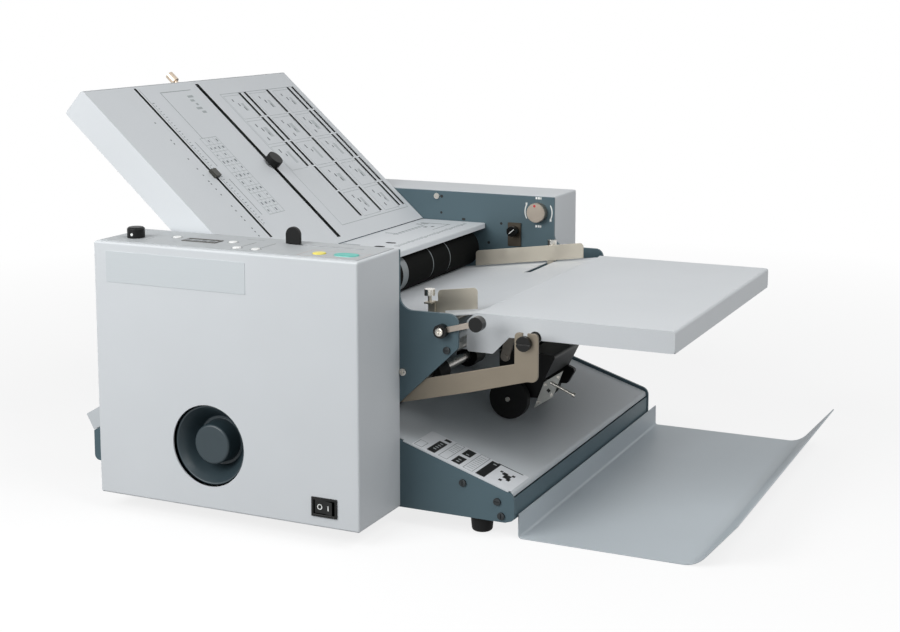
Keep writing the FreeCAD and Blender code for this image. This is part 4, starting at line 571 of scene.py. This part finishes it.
strokes = [(24 + 6 * number, 246 - 2.5 * (number % 2), 3.2, 10 - 3 * (number % 3)) for number in range(5)]
printed("table_1_strokes", faint_ink, "frame", table_1_face, strokes)

first_row = 28
row_step = 40.6
columns = ((304, 338, 3), (358, 397, 5), (409, 444, 5))
frames = box_lines(26, 301.5, 232, 461, 0.7)
signs = []
shades = []
for near, far, rows in columns:
    for row in range(rows):
        start = first_row + row_step * row
        frames += box_lines(start + 1.5, near, start + row_step - 2.5, far, 0.45)
        middle_y = (near + far) / 2
        for step in range(2 + (row + int(near)) % 3):
            wide = 3.5 + (row + step) % 3
            signs.append((start + 9 + 7 * step, middle_y - 6 + 5 * (step % 3), wide, 1.8))
        shades.append((start + 0.5 * row_step, middle_y + 6, 12 + 3 * (row % 3), 5 + 2 * (row % 2)))
printed("table_1_frames", faint_ink, "frame", table_1_face, frames)
printed("table_1_signs", dark_ink, "frame", table_1_face, signs)
shade_ink = grained("pale_grey_screen_ink", "b9bfc1", 0.55, 0.6, 0.05)
printed("table_1_shades", shade_ink, "frame", table_1_face, shades, rise=0.04)


# Lower fold table
# The same kind of folded steel case, lower and thinner, reaches out under the upper one.
deck_coat = powder_coat("powder_coat_mid_grey", "c8cdd0")
dressed("fold_table_2_case", deck_coat, 0.3)
dressed("stop_knob_2", fluted_abs, 0.9)


# Top cover
# A hinged steel lid over the fold rollers with a turned-down lip. It has two slots and a printed scale.
lid_z = extent("top_cover")[1].z
lid_sheet = 1.15


def in_lid_slot_shade(x, y, z):
    """Whether a place lies in the cut edge of one of the lid's two slots: painted shade, in black."""
    return lid_z - lid_sheet < z < lid_z - 0.03 and -130 < x < -95 and 240 < y < 310


lid = dressed("top_cover", table_coat, 0.3)
# The lid slots' cut edges are painted black: painted shade.
tinted(lid, shade_black, in_lid_slot_shade)
lid_face = face_at((0, 0, lid_z), (1, 0, 0), (0, 1, 0))
lid_ticks = [(-103.5, 281 + 6.4 * number, 4.6 if number % 5 else 7.0, 2.2) for number in range(28)]
printed("lid_ticks", line_ink, "top_cover", lid_face, lid_ticks)
lid_rules = [(-142, 388, 1.2, 80), (-135, 441, 38, 2.0), (-118, 420, 1.0, 42), (-152, 270, 20, 3.0),
             (-150, 356, 12, 2.4)]
lid_rules += [(-139.5, 352 + 8 * number, 4.0, 2.0) for number in range(9)]
printed("lid_scale", line_ink, "top_cover", lid_face, lid_rules)
lid_signs = [(-134, 413, 3.4, 6), (-128, 419, 3.4, 5), (-150, 429, 7, 3.0), (-146, 436, 9, 2.6)]
printed("lid_signs", dark_ink, "top_cover", lid_face, lid_signs)


# Feed roller
# A steel shaft with grey collars turns black friction sleeves of ground rubber.
collar_coat = grained("nickel_grey_collar", "83898b", 0.4, 1.0, 0.08, Metallic=0.4)
feed_shaft = dressed("feed_shaft", turned_steel, 0.4)
tinted(feed_shaft, collar_coat, lambda x, y, z: 250 < y < 380)
ground_rubber = grained("ground_black_rubber", "090a09", 0.75, 1.4, 0.3, Specular_IOR_Level=0.08)
dressed("feed_sleeves", ground_rubber, 0.5)


# Feed table
# A folded steel deck with turned-down edges, and the hinged lift plate that swings up to the roller.
for node in ("feed_table", "lift_plate"):
    dressed(node, pale_coat, 0.35)


# Side guides
# Two bent stainless plates, satin ground, slide on their bar. A knurled screw on each holds it.
satin_stainless = brushed_metal("satin_stainless_steel", "b9b3a6", 0.42, "xz", metallic=0.8, contrast=0.06)
bright_knurl = brushed_metal("knurled_bright_nickel", "d9d6cf", 0.26, "z", scratch=0.6)
for node in ("front_side_guide", "rear_side_guide"):
    guide = dressed(node, satin_stainless, 0.3)
    tinted(guide, bright_knurl, lambda x, y, z: z > 193.8 and 6.5 < x < 17.5)


# Knobs on the rear plate
# A knurled steel knob with a red dot sets the pressure, between two printed arcs. A black slotted
# knob on a dark bronze plate is the catch beside it.
knob_steel = brushed_metal("knurled_stainless_steel", "b9aea1", 0.34, "z", scratch=0.5, contrast=0.04)
dressed("pressure_knob", knob_steel, 0.25)
red_paint = grained("red_enamel", "c8202a", 0.3, 1.0, 0.03)
wall_y = extent("rear_frame_plate")[0].y
pressure_x, pressure_z = -19, 224.5
pressure_knob_end_y = extent("pressure_knob")[0].y
red_dot_radius = 1.5
knob_face = face_at((pressure_x, pressure_knob_end_y, pressure_z), (1, 0, 0), (0, 0, 1))
ring("pressure_knob_dot", red_paint, "pressure_knob", knob_face, (-1.5, 7.8), red_dot_radius)
wall_face = face_at((0, wall_y, 0), (1, 0, 0), (0, 0, 1))
arc_outer, arc_inner = 17.2, 15.9
for name, arc in (("right", (0, 32)), ("right_low", (328, 360)), ("left", (148, 212))):
    ring("pressure_arc_" + name, white_ink, "frame", wall_face, (pressure_x, pressure_z),
         arc_outer, arc_inner, arc=arc)
signs = [(-21.6, 240.4, 2.2, 2.6), (-18.6, 240.4, 2.2, 2.6), (-16.2, 240.4, 1.2, 2.6),
         (-21.6, 208, 2.2, 2.6), (-18.6, 208, 2.2, 2.6), (-16.2, 208, 1.2, 2.6), (-4.2, 215.7, 2.2, 2.6),
         (-33.8, 233.3, 2.2, 2.6)]
printed("pressure_signs", white_ink, "frame", wall_face, signs)
dressed("catch_knob", gloss_abs, 0.4)
# A thin white line on the black catch knob is a painted highlight along its slot.
catch_face = face_at((-48, 459.7, 201.5), (1, 0, 0.9), (-0.9, 0, 1))
catch_highlight_length, catch_highlight_width = 8.4, 0.7
printed("catch_slot_painted_highlight", white_ink, "catch_knob", catch_face,
        [(0, 0, catch_highlight_length, catch_highlight_width)], rise=0.05)
# Flat black discs and an oblong on the rear plate are painted shade for its small holes.
hole_shade_spots = ((-141.4, 216.7, 1.5), (-65, 208.4, 1.6), (-80.6, 185.2, 1.7), (-140.9, 235.9, 1.9))
for number, (x, z, radius) in enumerate(hole_shade_spots):
    ring("wall_hole_%d" % (number + 1), shade_black, "frame", wall_face, (x, z), radius)
printed("wall_oblong_hole_painted_shade", shade_black, "frame", wall_face, [(-112.6, 210.5, 4.6, 2.8)],
        corner_round=1.2)


# Screws, clamp lever and hangers
# Pan-head screws hold the plates. Some are blackened and some nickel plated. The clamp lever is a
# black boss and knob with a flat nickel link between them.
def cut(piece, boxes):
    """Mills narrow boxes out of a piece. Each has its middle and its three sizes in mm."""
    bpy.ops.object.select_all(action="DESELECT")
    bpy.ops.mesh.primitive_cube_add(size=mm)
    tool = bpy.context.object
    bpy.ops.object.mode_set(mode="EDIT")
    bpy.ops.mesh.delete(type="VERT")
    for x, y, z, width, depth, height in boxes:
        centre = at(x, y, z)
        bpy.ops.mesh.select_all(action="DESELECT")
        bpy.ops.mesh.primitive_cube_add(size=mm, location=centre)
        bpy.ops.transform.resize(value=(width, depth, height), center_override=centre)
    bpy.ops.object.mode_set(mode="OBJECT")
    mill = piece.modifiers.new("milled", "BOOLEAN")
    mill.object = tool
    mill.operation = "DIFFERENCE"
    mill.solver = "EXACT"
    mill.use_self = True
    only(piece)
    bpy.ops.object.modifier_apply(modifier=mill.name)
    bpy.data.objects.remove(tool)


nickel = brushed_metal("nickel_plated_steel", "c9c5bd", 0.24, "x", scratch=1.0)
black_oxide = brushed_metal("black_oxide_steel", "34383a", 0.36, "x", metallic=0.7, scratch=1.0)
hanger_steel = brushed_metal("rolled_steel_sheet", "9d958c", 0.42, "z", metallic=0.85)
dark_bronze = brushed_metal("browned_steel_sheet", "4b453c", 0.42, "z", metallic=0.7)


def on_hanger(x, y, z):
    """Whether a place lies on one of the wheel unit's two hangers."""
    return 230 < y < 320 and 30 < x < 60


def on_catch_plate(x, y, z):
    """Whether a place lies on the plate behind the catch knob."""
    return y > 468 and -57 < x < -39 and z < 212.5


def on_bright_screw(x, y, z):
    """Whether a place lies on the nickel screws of the front plate, the clamp lever or the rear plate."""
    on_front_plate = x < 8 and y < 82 and 120 < z < 135
    on_clamp = y < 84 and 40 < x < 48 and 167 < z < 176
    return on_front_plate or on_clamp or (y > 468 and -151 < x < -143)


fittings = dressed("frame_fittings", black_oxide, 0.35)
slots = [(64, 78.2, 32, 0.9, 1.6, 4.6), (98, 78.2, 19, 4.6, 1.6, 0.9), (102, 78.2, 6, 0.9, 1.6, 4.6),
         (48, 78.2, 153.5, 4.6, 1.6, 0.9), (3.8, 78.2, 129, 4.2, 1.6, 0.9), (3.8, 78.2, 129, 0.9, 1.6, 4.2),
         (44, 70.7, 171.5, 4.4, 1.8, 0.9), (44, 70.7, 171.5, 0.9, 1.8, 4.4)]
cut(fittings, slots)
tinted(fittings, hanger_steel, on_hanger)
tinted(fittings, dark_bronze, on_catch_plate)
tinted(fittings, nickel, on_bright_screw)
clamp = dressed("clamp_lever", gloss_abs, 0.35)
tinted(clamp, hanger_steel, lambda x, y, z: 55 < x < 73.5)


# Wheel unit
# Two L-shaped arms of satin ground steel carry the cross shaft, which ends in black slotted caps. The
# black carrier hangs below with two rubber press wheels and a riveted steel bracket.
warm_steel = brushed_metal("satin_ground_steel_warm", "7f776a", 0.46, "xz", metallic=0.8)
dressed("wheel_arms", warm_steel, 0.35)
dressed("press_shaft", turned_steel, 0.3)
dressed("shaft_caps", gloss_abs, 0.5)
dressed("wheel_carrier", fluted_abs, 0.6)
bracket = dressed("wheel_bracket", zinc_plate, 0.2)
tinted(bracket, nickel, lambda x, y, z: y < 240.1)
# A flat black diamond on the bracket is painted shade for its small hole.
bracket_face = face_at((84.5, 240.3, 82), (1, 0, 1), (-1, 0, 1))
bracket_hole_side = 3.4
printed("bracket_hole_painted_shade", shade_black, "wheel_carrier", bracket_face,
        [(0, 0, bracket_hole_side, bracket_hole_side)], rise=0.05)
dressed("press_wheels", moulded_rubber, 0.7)
dressed("wheel_axle", nickel, 0.3)


# Delivery ramp
# A bent steel chute between the frame plates leads down to the tray. Its front strip carries printed
# frames and black bars beside the plate's edge.
dressed("delivery_ramp", deck_coat, 0.4)
ramp_slope = 0.31255
ramp_start_z = 65
ink_rise = 0.16
ramp_face = face_at((0, 0, ramp_start_z), (math.cos(ramp_slope), 0, -math.sin(ramp_slope)), (0, 1, 0))
# A pale film on the ramp's front strip is painted light: it makes the strip as light as it looks when lit.
ramp_light_film = grained("pale_film_painted_light", "dcdfe2", 0.5, 0.8, 0.05)
printed("ramp_strip_painted_light", ramp_light_film, "frame", ramp_face, [(63.6, 104.2, 104, 45.6)], rise=0.1,
        corner_round=2)
black_ink = grained("black_screen_ink", "101212", 0.5, 0.6, 0.05)
bars = [(30.3, 99.5, 8.6, 29), (31.5, 121.5, 6.5, 5), (56.2, 94.5, 8.8, 17.5), (56.4, 116.7, 9.0, 15.6),
        (82.4, 104.5, 9.2, 40)]
printed("ramp_black_bars", black_ink, "frame", ramp_face, bars, rise=ink_rise)
panels = box_lines(13.2, 84.5, 21.2, 98.5, 0.5) + box_lines(39, 84.5, 47.8, 125.5, 0.5)
panels += box_lines(65, 84.5, 74.6, 126.5, 0.5)
panels += [(43.4, 104 + 4 * number, 6.0, 0.6) for number in range(5)]
panels += [(69.8, 90 + 4.4 * number, 6.6, 0.6) for number in range(8)]
printed("ramp_outlined_panels", line_ink, "frame", ramp_face, panels, rise=ink_rise)
flecks = [(30.5, 94 + 5 * number, 3.2, 1.6) for number in range(4)]
flecks += [(56.4, 91 + 5 * number, 3.0, 1.4) for number in range(2)] + [(56.6, 113, 3.0, 1.4)]
flecks += [(83, 119, 3.4, 1.6)]
printed("ramp_bar_flecks", shade_ink, "frame", ramp_face, flecks, rise=0.22)
sign = [(101.5, 106, 6.2, 9.4), (97.6, 110, 4.6, 6.0), (104.6, 101.6, 3.2, 6.0), (93.4, 112, 2.6, 3.6),
        (99.3, 94.6, 3.0, 4.2), (105.2, 113, 3.0, 4.0)]
printed("ramp_sign", black_ink, "frame", ramp_face, sign, rise=ink_rise)
# A flat dark line on the ramp is painted shade for a slit beside the strip.
printed("ramp_slit_painted_shade", dark_ink, "frame", ramp_face, [(97, 125.2, 26, 1.8)], rise=ink_rise)


# Delivery tray
# A wide folded steel tray pulls out from under the ramp.
tray_coat = powder_coat("powder_coat_cool_grey", "b7bfc4")
dressed("delivery_tray", tray_coat, 0.4)


# Mains inlet
# A moulded black socket with three nickel pins stands upright in the rear cover's side.
inlet = dressed("power_inlet", fluted_abs, 0.3)
tinted(inlet, nickel, lambda x, y, z: -14.5 < x < -5.5 and 524 < y < 532 and 41 < z < 59)
